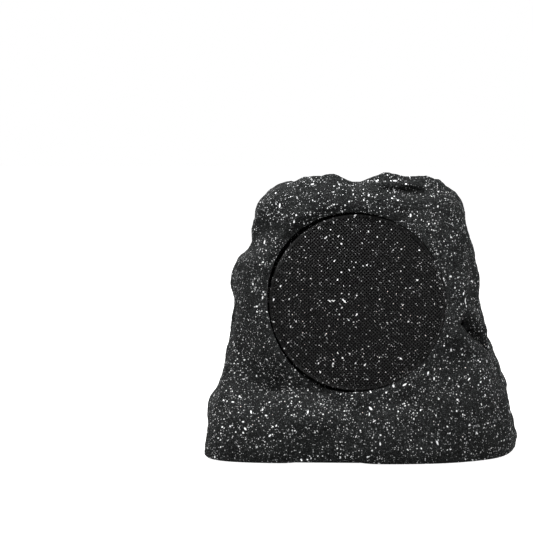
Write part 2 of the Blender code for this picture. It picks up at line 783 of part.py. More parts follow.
# ================================================================ control plate
def make_control_plate():
    holes = [circle(2.0, at) for at in PLATE_SCREWS]
    body = plate(
        "control_plate",
        [rounded_rectangle(*PLATE_SIZE, PLATE_CORNER), *holes],
        PLATE_BACK,
        PLATE_FACE,
        "black_plastic",
        CONTROL,
    )
    inside = (HOUSING_SIZE[0] - 2 * HOUSING_WALL, HOUSING_SIZE[1] - 2 * HOUSING_WALL)
    join(
        body,
        plate(
            "housing_walls",
            [rounded_rectangle(*HOUSING_SIZE, 4), rounded_rectangle(*inside, 2)],
            HOUSING_BACK,
            PLATE_BACK + 1,
            frame=CONTROL,
        ),
        plate(
            "usb_walls",
            [
                rounded_rectangle(USB_POCKET[0] + 4, USB_POCKET[1] + 4, 3, (USB_X, COVER_CENTRE_Y)),
                rounded_rectangle(*USB_POCKET, 2, (USB_X, COVER_CENTRE_Y)),
            ],
            USB_MOUTH + GAP,
            PLATE_BACK + 1,
            frame=CONTROL,
        ),
    )
    for i, at in enumerate(BOARD_SCREWS, 1):
        join(
            body,
            plate(
                f"board_boss_{i}",
                [circle(3.6, at, 12), circle(1.9, at)],
                BOARD_TOP + GAP,
                PLATE_BACK + 0.6,
                frame=CONTROL,
            ),
        )
    well = (COVER_SIZE[0] + 0.8, COVER_SIZE[1] + 0.8)
    centre = (0, COVER_CENTRE_Y)
    tab_x = -(COVER_SIZE[0] + TAB_SIZE[0]) / 2
    cut(
        body,
        plate(
            "cover_well",
            [rounded_rectangle(*well, COVER_CORNER + 0.4, centre)],
            WELL_FLOOR,
            5,
            frame=CONTROL,
        ),
        plate(
            "tab_well",
            [rounded_rectangle(TAB_SIZE[0] + 3, TAB_SIZE[1] + 1, 2, (tab_x, COVER_CENTRE_Y))],
            WELL_FLOOR,
            5,
            frame=CONTROL,
        ),
        plate(
            "usb_hole",
            [rounded_rectangle(*USB_POCKET, 2, (USB_X, COVER_CENTRE_Y))],
            -8,
            5,
            frame=CONTROL,
        ),
        plate(
            "anchor_slot",
            [rounded_rectangle(2.6, 22.6, 1, (46.0, COVER_CENTRE_Y), 2)],
            -8,
            5,
            frame=CONTROL,
        ),
    )
    for name, x in BUTTONS.items():
        at = (x, COVER_CENTRE_Y)
        hole = cylinder(f"key_hole_{name}", KEY_RADIUS + 0.4, -8, 5, at=at, steps=20, frame=CONTROL)
        cut(body, hole)
    for i, at in enumerate(PLATE_SCREWS, 1):
        sink = cylinder(f"plate_sink_{i}", 3.4, -3.6, 5, at=at, steps=14, frame=CONTROL)
        cut(body, sink)

    seal = [
        rounded_rectangle(PLATE_SIZE[0] - 0.6, PLATE_SIZE[1] - 0.6, PLATE_CORNER),
        rounded_rectangle(WINDOW_SIZE[0] + 1, WINDOW_SIZE[1] + 1, 4),
        *[circle(1.9, at) for at in PLATE_SCREWS],
    ]
    plate("control_seal", seal, POCKET_FLOOR + GAP, PLATE_BACK - GAP, "rubber", CONTROL)
    for i, at in enumerate(PLATE_SCREWS, 1):
        screw_fastener(f"control_screw_{i}", at, 2.8, -3.6 + GAP + 1.6, 1.6, 9.4, CONTROL)


def make_cover():
    """The silicone flap, its anchored edge and the three pads that press the keys."""
    left = -COVER_SIZE[0] / 2
    holes = [circle(PAD_RADIUS + GAP, (x, COVER_CENTRE_Y), 20) for x in BUTTONS.values()]
    full = rounded_rectangle(*COVER_SIZE, COVER_CORNER, (0, COVER_CENTRE_Y))
    flap = [(min(x, HINGE_X), y) for x, y in full if x < HINGE_X + 1]
    top = COVER_CENTRE_Y + COVER_SIZE[1] / 2
    bottom = COVER_CENTRE_Y - COVER_SIZE[1] / 2
    corner_ups = [(x, y) for x, y in flap if x < 0]
    outline = [(HINGE_X, top), *corner_ups, (HINGE_X, bottom)]
    cover = plate("port_cover", [outline, *holes], COVER_BOTTOM, COVER_TOP, "silicone", CONTROL)
    cover.data.transform(Matrix.Translation((-HINGE_X * MM, 0, -COVER_TOP * MM)))
    cover.location = (HINGE_X * MM, 0, COVER_TOP * MM)
    tab = plate(
        "pull_tab",
        [
            rounded_rectangle(
                TAB_SIZE[0] + 4, TAB_SIZE[1], 2, (left - TAB_SIZE[0] / 2 + 2.3, COVER_CENTRE_Y)
            )
        ],
        COVER_BOTTOM,
        COVER_TOP - 0.6,
        frame=CONTROL,
    )
    plug = plate(
        "port_plug",
        [rounded_rectangle(USB_POCKET[0] - 0.8, USB_POCKET[1] - 0.8, 1.8, (USB_X, COVER_CENTRE_Y))],
        COVER_BOTTOM - 1.5,
        COVER_BOTTOM + 1,
        frame=CONTROL,
    )
    join(cover, tab, plug)

    strip_left = HINGE_X + 0.3
    right_corners = [(x, y) for x, y in full if x > 45]
    upper = [p for p in right_corners if p[1] > COVER_CENTRE_Y]
    lower = [p for p in right_corners if p[1] < COVER_CENTRE_Y]
    anchor_outline = [(strip_left, bottom), *lower, *upper, (strip_left, top)]
    anchor = plate(
        "cover_anchor", [anchor_outline], COVER_BOTTOM, COVER_TOP, "silicone", CONTROL
    )
    peg = plate(
        "anchor_peg",
        [rounded_rectangle(2.0, 22.0, 0.7, (46.0, COVER_CENTRE_Y), 2)],
        PLATE_BACK - 1.0,
        COVER_BOTTOM + 1,
        frame=CONTROL,
    )
    join(anchor, peg)

    for name, x in BUTTONS.items():
        at = (x, COVER_CENTRE_Y)
        pad = cylinder(
            f"pad_{name}",
            PAD_RADIUS,
            COVER_TOP - 1.6,
            COVER_TOP,
            steps=20,
            finish="silicone",
            frame=CONTROL,
        )
        pad.location = Vector((*at, 0)) * MM
        key = [
            (0, -2.6),
            (KEY_RADIUS - 0.5, -2.6),
            (KEY_RADIUS, -3.1),
            (KEY_RADIUS, PLATE_BACK - GAP),
            (KEY_FLANGE_RADIUS, PLATE_BACK - GAP),
            (KEY_FLANGE_RADIUS, PLATE_BACK - GAP - 1),
            (2, PLATE_BACK - GAP - 1),
            (2, -10.2),
            (0, -10.2),
        ]
        turned(f"key_{name}", key, "black_plastic", CONTROL, steps=16, at=at)


def make_board():
    holes = [circle(1.9, at) for at in BOARD_SCREWS]
    board = plate(
        "main_board",
        [rounded_rectangle(*BOARD_SIZE, 1.5, steps=1), *holes],
        BOARD_BACK,
        BOARD_TOP,
        "circuit",
        CONTROL,
    )
    low, high = BOARD_BACK, BOARD_TOP
    soldered = [
        (f"switch_{name}", (6, 6, 6.9), (x, COVER_CENTRE_Y, high + 3.35))
        for name, x in BUTTONS.items()
    ]
    soldered += [
        ("amplifier_chip", (10, 10, 1.6), (-14, -4, low - 0.7)),
        ("radio_module", (18, 13, 2.4), (24, 2, low - 1.1)),
        ("inductor", (8, 8, 4.2), (2, -12, low - 2.0)),
        ("speaker_socket", (8, 6, 6), (-30, -13, low - 2.9)),
        ("battery_socket", (8, 6, 6), (-16, -18, low - 2.9)),
        ("panel_socket", (8, 6, 6), (8, 16, low - 2.9)),
    ]
    for name, size, centre in soldered:
        join(board, box(name, size, centre, frame=CONTROL))
    join(board, cylinder("capacitor", 4.0, low - 7.5, low + 0.5, (36, -12), 12, frame=CONTROL))
    for i, at in enumerate(BOARD_SCREWS, 1):
        screw_fastener(
            f"board_screw_{i}", at, 2.6, -BOARD_BACK + GAP + 1.6, 1.6, 8.5, CONTROL, flip=-1
        )
    socket = plate(
        "usb_socket",
        [
            rounded_rectangle(9.0, 3.4, 1.5, (USB_X, COVER_CENTRE_Y), 3),
        ],
        BOARD_TOP + GAP,
        USB_MOUTH,
        "steel",
        CONTROL,
    )
    opening = plate(
        "usb_slot",
        [rounded_rectangle(8.3, 2.6, 1.2, (USB_X, COVER_CENTRE_Y), 3)],
        USB_MOUTH - 5,
        0,
        frame=CONTROL,
    )
    tongue = box("usb_tongue", (6.6, 0.7, 5), (USB_X, COVER_CENTRE_Y, USB_MOUTH - 3.4), frame=CONTROL)
    cut(socket, opening)
    join(socket, tongue)


# ================================================================ panel and battery
def make_panel():
    low = PANEL_LEDGE + GAP
    seal_top = low + 1.2
    outer = rounded_rectangle(PANEL_SIZE[0], PANEL_SIZE[1], 1.2, steps=2)
    inner = rounded_rectangle(PANEL_SIZE[0] - 12, PANEL_SIZE[1] - 12, 1.2, steps=2)
    plate("panel_seal", [outer, inner], low, seal_top, "rubber", PANEL)
    panel_low = seal_top + GAP
    plate("solar_panel", [outer], panel_low, panel_low + PANEL_SIZE[2], "solar", PANEL)


def make_battery():
    x, y = CRADLE_AT
    low = BASE_TOP + GAP
    width, depth, height = CRADLE_SIZE
    cradle = box("battery_cradle", CRADLE_SIZE, (x, y, low + height / 2), "black_plastic")
    axis_z = low + 2.5 + CELL_RADIUS
    for side, name in ((-1, "front"), (1, "rear")):
        at_y = y + side * (CELL_RADIUS + 0.6)
        trough = cylinder(
            f"trough_{name}", CELL_RADIUS + 0.4, -CELL_LENGTH / 2 - 0.5, CELL_LENGTH / 2 + 0.5,
            steps=ROUND_STEPS,
        )
        trough.location = Vector((x, at_y, axis_z)) * MM
        trough.rotation_euler = (0, math.radians(90), 0)
        cut(cradle, trough)
        half = CELL_LENGTH / 2
        profile = [
            (0, half),
            (3.0, half),
            (3.0, half - 1.2),
            (CELL_RADIUS - 1, half - 1.2),
            (CELL_RADIUS, half - 2.2),
            (CELL_RADIUS, -half),
            (0, -half),
        ]
        cell = turned(f"battery_cell_{name}", profile, "cell")
        cell.location = Vector((x, at_y, axis_z)) * MM
        cell.rotation_euler = (0, math.radians(90 * side), 0)


# ================================================================ leads
def lead(name, route, radius=1.5, points=22):
    """A round lead along a smooth curve through the route's points."""
    last = len(route) - 1
    curve = bpy.data.curves.new(name, "CURVE")
    curve.dimensions = "3D"
    curve.bevel_depth = radius * MM
    curve.bevel_resolution = 2
    curve.use_fill_caps = True
    spline = curve.splines.new("POLY")
    spline.points.add(points - 1)
    for k in range(points):
        t = last * k / (points - 1)
        i = min(int(t), last - 1)
        rows = [route[min(max(j, 0), last)] for j in (i - 1, i, i + 1, i + 2)]
        place = [catmull(*values, t - i) for values in zip(*rows, strict=True)]
        spline.points[k].co = (*(Vector(place) * MM), 1)
    curve.materials.append(material("rubber"))
    obj = bpy.data.objects.new(name, curve)
    PARTS.objects.link(obj)
    return obj


def make_leads():
    terminals = Matrix.Translation(TERMINALS_AT) @ Matrix.Rotation(
        math.radians(BASKET_SLOPE), 4, "Y"
    )
    speaker_end = GRILLE_FRAME @ terminals @ Vector((4.4, 0, -3.5))
    speaker_out = GRILLE_FRAME @ terminals @ Vector((12, 0, -6))
    speaker_board = PLATE_FRAME @ Vector((-30, -13, BOARD_BACK - 6.4))
    battery_board = PLATE_FRAME @ Vector((-16, -18, BOARD_BACK - 6.4))
    panel_board = PLATE_FRAME @ Vector((8, 16, BOARD_BACK - 6.4))
    inward = PLATE_FRAME.to_3x3() @ Vector((0, 0, -1))
    lead(
        "speaker_lead",
        [
            tuple(speaker_end),
            tuple(speaker_out),
            (76, -24, 108),
            (74, 6, 88),
            (62, 34, 76),
            tuple(speaker_board + inward * 14),
            tuple(speaker_board),
        ],
    )
    lead(
        "battery_lead",
        [
            (38.5, 30, 30),
            (46, 32, 32),
            (50, 42, 42),
            (42, 52, 56),
            tuple(battery_board + inward * 12),
            tuple(battery_board),
        ],
        points=18,
    )
    lead(
        "panel_lead",
        [
            (1.5, 10.5, 205.2),
            (4, 13, 196),
            (4, 26, 170),
            (3, 44, 144),
            (4, 60, 118),
            tuple(panel_board + inward * 12),
            tuple(panel_board),
        ],
    )


# ================================================================ build
for old in list(bpy.data.objects):
    bpy.data.objects.remove(old)
PARTS = collection("rock_speaker")
CUTTERS = collection("cutters")
GRILLE = frame_empty("grille_axis", GRILLE_AT, 90 - GRILLE_TILT)
CONTROL = frame_empty("control_axis", PLATE_AT, 90 - PLATE_TILT, 180)
PANEL = frame_empty("panel_axis", PANEL_AT, -PANEL_TILT)

make_rock_shell()
make_base()
make_grille()
make_driver()
make_control_plate()
make_cover()
make_board()
make_panel()
make_battery()
make_leads()
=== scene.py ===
"""Looks for the rock speaker: finer pieces over the CAD frame, materials, light and camera.

Tables and sizes are in millimetres, which MM turns into the frame's metres.
"""

import math

import bmesh
import bpy
import numpy as np
from mathutils import Matrix, Vector, noise


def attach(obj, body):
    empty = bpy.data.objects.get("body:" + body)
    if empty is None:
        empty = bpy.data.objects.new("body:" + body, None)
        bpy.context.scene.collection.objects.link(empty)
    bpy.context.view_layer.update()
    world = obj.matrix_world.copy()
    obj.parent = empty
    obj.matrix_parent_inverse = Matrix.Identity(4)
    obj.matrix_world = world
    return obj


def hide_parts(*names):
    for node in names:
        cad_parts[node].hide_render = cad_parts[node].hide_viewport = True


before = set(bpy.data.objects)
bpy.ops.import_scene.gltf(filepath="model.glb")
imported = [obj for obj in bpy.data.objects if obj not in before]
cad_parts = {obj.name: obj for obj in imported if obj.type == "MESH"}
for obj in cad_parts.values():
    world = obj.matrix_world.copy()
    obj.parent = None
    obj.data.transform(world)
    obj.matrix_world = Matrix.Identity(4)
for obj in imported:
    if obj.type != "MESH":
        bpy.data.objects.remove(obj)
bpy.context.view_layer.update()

MM = 0.001
GAP = 0.3  # clearance between pieces
CLEAR = 30.0  # how far a cutter stands out of the face that it cuts

# -------- the rock's form
# From the ground up: height at the front and at the back, then how far the rock
# reaches to the left, to the right, to the front and to the back.
STATIONS = (
    (1, 1, 128.0, 128.0, 102.0, 102.0),
    (12, 12, 129.0, 130.0, 103.5, 103.0),
    (32, 32, 126.5, 126.0, 102.0, 103.5),
    (52, 52, 122.5, 120.5, 96.0, 102.5),
    (67, 67, 116.5, 114.5, 90.5, 101.0),
    (84, 86, 110.0, 108.5, 87.0, 99.5),
    (105, 108, 107.5, 103.5, 84.0, 97.5),
    (125, 128, 107.0, 100.0, 80.5, 95.0),
    (142, 146, 106.5, 96.5, 77.5, 89.0),
    (156, 158, 102.5, 93.5, 75.5, 82.0),
    (167, 168, 92.0, 91.0, 73.0, 76.0),
    (182, 181, 90.0, 87.5, 70.0, 67.5),
    (200, 196, 88.0, 84.0, 66.0, 61.0),
    (211, 207, 81.0, 79.0, 62.0, 56.5),
    (217.5, 213, 71.5, 72.0, 57.5, 53.5),
    (222.5, 217, 62.0, 65.5, 53.0, 50.0),
    (226, 219.5, 53.0, 59.5, 49.0, 46.5),
)
CROWN_SHRINKS = (0.97, 0.94, 0.91, 0.88, 0.85, 0.8, 0.7, 0.55, 0.3)
# How square each corner is in plan: at the ground, at the control plate and at the top.
# Front left, front right, back left, back right.
CORNERS = ((6.4, 4.2, 4.0), (2.7, 4.0, 4.0), (2.9, 4.0, 3.8), (2.6, 4.2, 3.8))
SQUAREST_AT = 0.34
# Swellings and hollows: the ends of the spine, how far it spreads and how far it pushes
LUMPS = (
    ((-5, -50, 229), (-5, -36, 229), 11, (0, 0, -9.0)),  # notch in the front crest
    ((-6, 40, 222), (-4, 50, 222), 18, (0, 0, -3.5)),  # dip in the back lip
    ((-24, -48, 227), (-20, -48, 227), 8, (0, 0, 3.0)),  # left crest
    ((22, -48, 228), (58, -44, 227), 12, (0, 0, 3.0)),  # right crest
    ((64, -30, 219), (64, 4, 217), 8, (0, 0, 2.0)),  # knob beside the panel
    ((-92, -84, 60), (-80, -88, 92), 20, (4, 7, 0)),  # hollow below the grille's left
    ((100, -30, 88), (108, 0, 104), 15, (-6, 4, 0)),  # crease in the right flank
    ((104, -62, 20), (92, -72, 60), 18, (3, -4, 0)),  # edge of the front's right corner
    ((56, 84, 138), (-22, 70, 180), 20, (0, 5, 2)),  # ridge across the back
    ((-46, 62, 176), (-34, 58, 204), 18, (0, -6, 0)),  # hollow under the back crest
)
# Smaller ones, which only the fine surface has
FINE_LUMPS = (
    ((18, -60, 214), (46, -60, 216), 5.0, (0, 7.5, 0)),  # hollow under the right crest
    ((14, -57, 225), (54, -54, 226), 4.5, (0, -2.4, 0)),  # its brow
    ((83, -79, 112), (103, -56, 90), 4.6, (-5.5, 6.5, 0)),  # slit in the right flank
    ((92, -74, 118), (109, -45, 99), 5.5, (2.0, -3.0, 0)),  # ridge above the slit
    ((74, -82, 102), (92, -66, 82), 7.0, (1.5, -3.0, 0)),  # and below it
    ((-66, -92, 64), (-18, -96, 50), 8, (0, 6.5, 0)),  # valley below the grille
    ((-112, -76, 74), (-66, -92, 64), 9.5, (1.5, 7.5, 0)),  # its other half
    ((-108, -84, 46), (-40, -98, 36), 10, (0, -3.0, 0)),  # swelling under the valley
    ((-104, -56, 162), (-74, -74, 152), 7, (0, -3.0, 2.0)),  # shoulder's edge
    ((-90, -54, 182), (-66, -68, 180), 9, (3.0, 6.0, 0)),  # hollow above the shoulder
    ((-84, -50, 206), (-40, -62, 208), 9, (0, -2.0, 0)),  # swelling under the left crest
    ((46, -98, 26), (40, -96, 46), 13, (0, 4.5, 0)),  # soft hollow at the foot
    ((84, -84, 30), (76, -88, 62), 12, (1, -2.5, 0)),  # swelling right of it
    ((-40, -104, 4), (-10, -104, 4), 12, (0, 1.5, 2.0)),  # the foot lifts a little here
    ((-12, 42, 220), (4, 52, 218), 15, (0, 0, -2.6)),  # the back lip's dip goes deeper
    ((-9, -44, 219), (-1, -38, 219), 7, (0, 0, 1.6)),  # the front notch's floor
    ((72, -44, 224), (82, 0, 212), 10, (0, 0, -4.5)),  # the crest falls to the right
    ((22, -50, 229), (26, -46, 229), 6, (0, 0, 2.6)),  # its highest point
    ((72, 54, 196), (4, 60, 206), 13, (0, -6, -1)),  # hollow under the back crest
    ((52, 84, 162), (-26, 66, 198), 10, (0, 4.5, 3)),  # shelf below it, rising to the left
    ((96, 30, 172), (70, 62, 168), 9, (2, 3, 2)),  # right shoulder, towards the back
    ((-60, 70, 176), (-84, 50, 150), 12, (1, -4.5, 0)),  # left shoulder, at the back
    ((-100, 60, 60), (-70, 84, 84), 13, (1, -4.5, 0)),  # beside the control plate
    ((96, 62, 46), (100, 30, 90), 11, (-4.5, -3, 0)),  # and on its other side
    ((104, 20, 150), (86, 50, 118), 12, (-4, -3, 0)),  # right side, towards the back
    ((98, -20, 168), (102, 18, 140), 9, (1.0, 0, 0)),  # right shoulder's edge
    ((-124, -60, 56), (-124, 50, 54), 16, (3.6, 0, 0)),  # the left flank steps in
    ((-131, -60, 16), (-131, 50, 16), 14, (1.8, 0, 0)),
    ((-112, 10, 60), (-104, 52, 96), 13, (4.5, -2, 0)),  # left side, towards the back
    ((-118, -30, 30), (-108, 0, 84), 12, (-2.5, 0, 0)),  # ridge up the left side
    ((-108, -10, 120), (-100, 30, 150), 11, (4, 0, 0)),  # hollow behind the ridge
)
WALL = 5.0  # the CAD shell's
VISUAL_WALL = 5.6
CREST_HEIGHT = 231.0

# -------- the three faces
# Heights and depths are along each face's own normal, from its centre.
GRILLE_AT = (-3.0, -79.5, 128.0)
PLATE_AT = (14.0, 98.5, 87.0)
PANEL_AT = (1.5, -1.5, 219.8)
GRILLE_FLAT_RADIUS = 77.0
GRILLE_FLAT_MARGIN = 24.0
LIP_LEFT = 5.0
LIP_RIGHT = 0.6
PLATE_FLAT = (134.0, 86.0)
PLATE_FLAT_MARGIN = 22.0

GRILLE_RADIUS = 70.5
GRILLE_RISE = 4.5
GRILLE_RIM = -1.5
GRILLE_SHEET = 0.9
GRILLE_SKIRT = -13.7
GRILLE_BORDER = 0.9  # unpierced edge
PITCH = 2.05  # between the grille's holes
HOLE_RADIUS = 0.79
RECESS_RADIUS = 71.0
# Where the gap round the grille is wider: degrees round it from its right side, how far
# that spreads, how much wider the gap is, and how much wider and deeper the roll into it
GROOVES = ((136, 42, 3.6, 5.0, 4.4), (242, 30, 2.6, 4.5, 3.4))
BAFFLE_FACE = -14.0
BAFFLE_BACK = -22.0
BAFFLE_RADIUS = 78.0
DRIVER_HOLE_RADIUS = 59.0
DRIVER_SCREW_CIRCLE = 63.0
PILOT_RADIUS = 1.9  # of every screw hole in the rock and the control plate

PLATE_SIZE = (130.0, 82.0)
PLATE_CORNER = 8.0
PLATE_FACE = -1.5
PLATE_BACK = -5.5
POCKET_SIZE = (131.4, 83.4)
POCKET_FLOOR = -7.1
LEDGE_BACK = -13.0
WINDOW_SIZE = (100.5, 54.5)
HOUSING_SIZE = (99.5, 53.5)
HOUSING_WALL = 2.5
HOUSING_BACK = -29.0
PLATE_SCREWS = ((-56, 32), (0, 34), (56, 32), (-56, -32), (0, -34), (56, -32))
SINK_RADIUS = 3.4
SINK_FLOOR = -3.6
WELL_FLOOR = -3.7
COVER_CENTRE_Y = 7.7
COVER_SIZE = (98.0, 35.0)
COVER_BOTTOM = -3.4
COVER_TOP = -0.7
COVER_CORNER = 4.0
HINGE_X = 44.35
TAB_SIZE = (5.0, 10.6)
BUTTONS = {"power": -11.3, "pair": 9.3, "mode": 30.1}
PAD_RADIUS = 7.0
KEY_RADIUS = 6.4
USB_AT = (-31.0, COVER_CENTRE_Y)
PEG_AT = (46.0, COVER_CENTRE_Y)
USB_POCKET = (13.5, 8.5)
USB_MOUTH = -11.7
BOARD_TOP = -18.3
BOARD_SCREWS = ((-42, 19), (42, 19), (-42, -19), (42, -19))

PANEL_SIZE = (116.0, 68.2, 2.6)
PANEL_RECESS = (116.8, 69.0)
PANEL_LEDGE = -5.2
PANEL_TUB = (127.0, 79.0)
PANEL_TUB_BACK = -9.8
DRAIN_WIDTH = 13.0

BASE_BOTTOM = 11.0
BASE_TOP = 14.0
PLATE_INSET = 8.4
SEAL_TOP = 15.3
LEDGE_TOP = 19.6
BOSS_TOP = 38.0
BOSS_RADIUS = 5.5
BASE_SCREW_ANGLES = (0, 62, 118, 180, 242, 298)
BASE_SCREW_INSET = 14.0
NOTCH_DEPTH = (80.0, 120.0)  # where its cutter starts and ends, behind the rock's middle
# The arch in the back's lower edge: steep on one side and flared on the other
NOTCH = (
    (10.0, -3), (10.3, 0), (10.4, 3), (9.5, 5.6), (7.6, 7.8), (5.0, 9.4), (2.0, 10.3),
    (-1.0, 10.4), (-4.0, 9.7), (-6.6, 8.0), (-8.8, 5.8), (-11.2, 3.6), (-14.2, 1.9),
    (-17.4, 0.8), (-20.5, 0), (-20.5, -3),
)
FEET = {
    "front_left": (-88, -66),
    "front_right": (84, -66),
    "rear_left": (-76, 62),
    "rear_right": (76, 62),
}
FOOT_RADIUS = 10.0

# Fineness
COLUMNS = 400
ROWS = 196
CAVITY_COLUMNS = 96
CAVITY_ROWS = 48
PLAN_COLUMNS = 24
ROUND = 96


# ======== node trees
class Tree:
    """Builds one material. Vectors are millimetres in the object's own space."""

    def __init__(self, name, **shader):
        self.material = bpy.data.materials.new(name)
        self.material.use_nodes = True
        self.nodes = self.material.node_tree.nodes
        self.links = self.material.node_tree.links
        self.shader = self.nodes["Principled BSDF"]
        self.use(**shader)
        where = self.nodes.new("ShaderNodeTexCoord").outputs["Object"]
        self.where = self.vector("SCALE", where, Scale=1000.0)

    def set(self, socket, value):
        if isinstance(value, bpy.types.NodeSocket):
            self.links.new(value, socket)
        elif hasattr(socket.default_value, "__len__") and len(socket.default_value) == 4:
            socket.default_value = (*value, 1.0)
        else:
            socket.default_value = value

    def math(self, operation, *values):
        made = self.nodes.new("ShaderNodeMath")
        made.operation = operation
        for socket, value in zip(made.inputs, values, strict=False):
            self.set(socket, value)
        return made.outputs[0]

    def vector(self, operation, *values, Scale=None):
        made = self.nodes.new("ShaderNodeVectorMath")
        made.operation = operation
        for socket, value in zip(made.inputs, values, strict=False):
            self.set(socket, value)
        if Scale is not None:
            self.set(made.inputs["Scale"], Scale)
        return made.outputs["Value" if operation == "LENGTH" else "Vector"]

    def split(self, vector, kind="XYZ"):
        made = self.nodes.new("ShaderNodeSeparate" + kind)
        self.set(made.inputs[0], vector)
        return made.outputs

    def ramp(self, value, low, high, out_low=0.0, out_high=1.0):
        """value between low and high turned into out_low to out_high, smoothly."""
        made = self.nodes.new("ShaderNodeMapRange")
        made.interpolation_type = "SMOOTHSTEP"
        numbers = (value, low, high, out_low, out_high)
        for socket, number in zip(made.inputs[:5], numbers, strict=True):
            self.set(socket, number)
        return made.outputs[0]

    def mix(self, share, a, b):
        made = self.nodes.new("ShaderNodeMix")
        made.data_type = "RGBA"
        self.set(made.inputs[0], share)
        self.set(made.inputs[6], a)
        self.set(made.inputs[7], b)
        return made.outputs[2]

    def shades(self, share, colour, low, high):
        """The colour times low to the colour times high."""
        return self.mix(share, tuple(c * low for c in colour), tuple(c * high for c in colour))

    def waves(self, axis, length):
        """A sine along one axis."""
        turns = self.math("MULTIPLY", self.split(self.where)[axis], 2 * math.pi / length)
        return self.math("SINE", turns)

    def noise(self, size, detail=3.0, where=None, rough=0.55, output="Fac"):
        made = self.nodes.new("ShaderNodeTexNoise")
        self.set(made.inputs["Vector"], where or self.where)
        made.inputs["Scale"].default_value = 1.0 / size
        made.inputs["Detail"].default_value = detail
        made.inputs["Roughness"].default_value = rough
        return made.outputs[output]

    def cells(self, size, where=None, feature="F1"):
        made = self.nodes.new("ShaderNodeTexVoronoi")
        made.feature = feature
        where = self.vector("SCALE", where or self.where, Scale=1.0 / size)
        self.set(made.inputs["Vector"], where)
        made.inputs["Scale"].default_value = 1.0
        return where, made

    def stretched(self, x, y, z):
        return self.vector("MULTIPLY", self.where, (x, y, z))

    def bump(self, height, strength, distance=0.1, normal=None):
        made = self.nodes.new("ShaderNodeBump")
        made.inputs["Strength"].default_value = strength
        made.inputs["Distance"].default_value = distance * MM
        self.set(made.inputs["Height"], height)
        if normal is not None:
            self.set(made.inputs["Normal"], normal)
        return made.outputs["Normal"]

    def use(self, **sockets):
        """Sets the shader's sockets, each named with _ for a space."""
        for socket, value in sockets.items():
            self.set(self.shader.inputs[socket.replace("_", " ")], value)
        return self.material

    def flecks(self, spacing, radius, narrow, share, seed, where, faintest):
        """Specks that are ellipsoids in random directions, where the surface cuts them.
        narrow is how much longer they are than wide, share how many places have one, and
        faintest the least of their strengths, which go up to 1."""
        at = self.vector("ADD", where, (seed * 7.3, seed * 3.1, seed * 5.7))
        at, cell = self.cells(spacing, at)
        away = self.vector("SUBTRACT", at, cell.outputs["Position"])
        turn = self.vector("SCALE", cell.outputs["Color"], Scale=2 * math.pi)
        rotate = self.nodes.new("ShaderNodeVectorRotate")
        rotate.rotation_type = "EULER_XYZ"
        self.set(rotate.inputs["Vector"], away)
        self.set(rotate.inputs["Rotation"], turn)
        away = self.vector("MULTIPLY", rotate.outputs[0], (1.0, narrow, narrow))
        away = self.vector("LENGTH", away)
        chance = self.split(cell.outputs["Color"], "Color")
        size = self.math("MULTIPLY_ADD", chance[1], 0.65, 0.35)
        size = self.math("MULTIPLY", size, radius / spacing)
        inner = self.math("MULTIPLY", size, 0.72)
        speck = self.ramp(away, size, inner)
        chosen = self.math("LESS_THAN", chance[2], share)
        shade = self.ramp(chance[0], 0.1, 0.8, faintest, 1.0)
        return self.math("MULTIPLY", self.math("MULTIPLY", speck, chosen), shade)


def speckled(name, dark, pale, grain_share, fleck_share, **shader):
    """Dark stone paint: grey grain with white flecks of several sizes."""
    tree = Tree(name, **shader)
    warp = tree.noise(1.6, 2.0, rough=0.5, output="Color")
    warped = tree.vector("MULTIPLY_ADD", warp, (0.5, 0.5, 0.5), tree.where)
    clusters = tree.ramp(tree.noise(14, 2), 0.3, 0.68, 0.45, 1.35)

    grain = tree.ramp(tree.noise(0.85, 2.0, rough=0.65), 0.47, 0.68)
    grain = tree.math("MULTIPLY", grain, grain_share)
    share = tree.math("MULTIPLY", clusters, fleck_share)
    big = tree.flecks(5.6, 2.7, 2.9, tree.math("MULTIPLY", share, 1.1), 1, warped, 0.75)
    middle = tree.flecks(3.0, 1.2, 1.8, tree.math("MULTIPLY", share, 0.9), 2, warped, 0.2)
    small = tree.flecks(1.5, 0.66, 1.4, tree.math("MULTIPLY", share, 1.5), 3, warped, 0.1)
    flecks = tree.math("MAXIMUM", big, middle)
    small = tree.math("MULTIPLY", small, 0.7)
    flecks = tree.math("MAXIMUM", flecks, small)

    ground = tree.shades(tree.noise(30, 3), dark, 0.75, 1.25)
    colour = tree.mix(grain, ground, tuple(c * 9 for c in dark))
    colour = tree.mix(flecks, colour, pale)

    pits = tree.noise(1.3, 4, rough=0.7)
    swell = tree.noise(5, 2)
    height = tree.math("MULTIPLY_ADD", swell, 1.6, pits)
    normal = tree.bump(height, 0.55, 0.55)
    normal = tree.bump(flecks, 0.4, 0.12, normal)
    rough = tree.ramp(pits, 0.3, 0.7, 0.62, 0.88)
    return tree.use(Base_Color=colour, Roughness=rough, Normal=normal)


def moulded(name, colour, rough=0.45, grain=0.35, streak=None, vary=0.12, **shader):
    """Moulded plastic: fine grain, slight patches, and drawn streaks where streak is given."""
    tree = Tree(name, **shader)
    tone = tree.shades(tree.noise(18, 3), colour, 1 - vary, 1 + vary)
    height = tree.noise(0.45, 2)
    roughness = tree.ramp(tree.noise(6, 4), 0.3, 0.7, rough - 0.06, rough + 0.08)
    if streak:
        lines = tree.noise(1.0, 3, tree.stretched(*streak), 0.6)
        share = tree.ramp(lines, 0.35, 0.75, 0.0, 0.55)
        tone = tree.mix(share, tone, tuple(c * 1.7 for c in colour))
        height = tree.math("MULTIPLY_ADD", lines, 1.2, height)
    normal = tree.bump(height, grain, 0.06)
    return tree.use(Base_Color=tone, Roughness=roughness, Normal=normal)


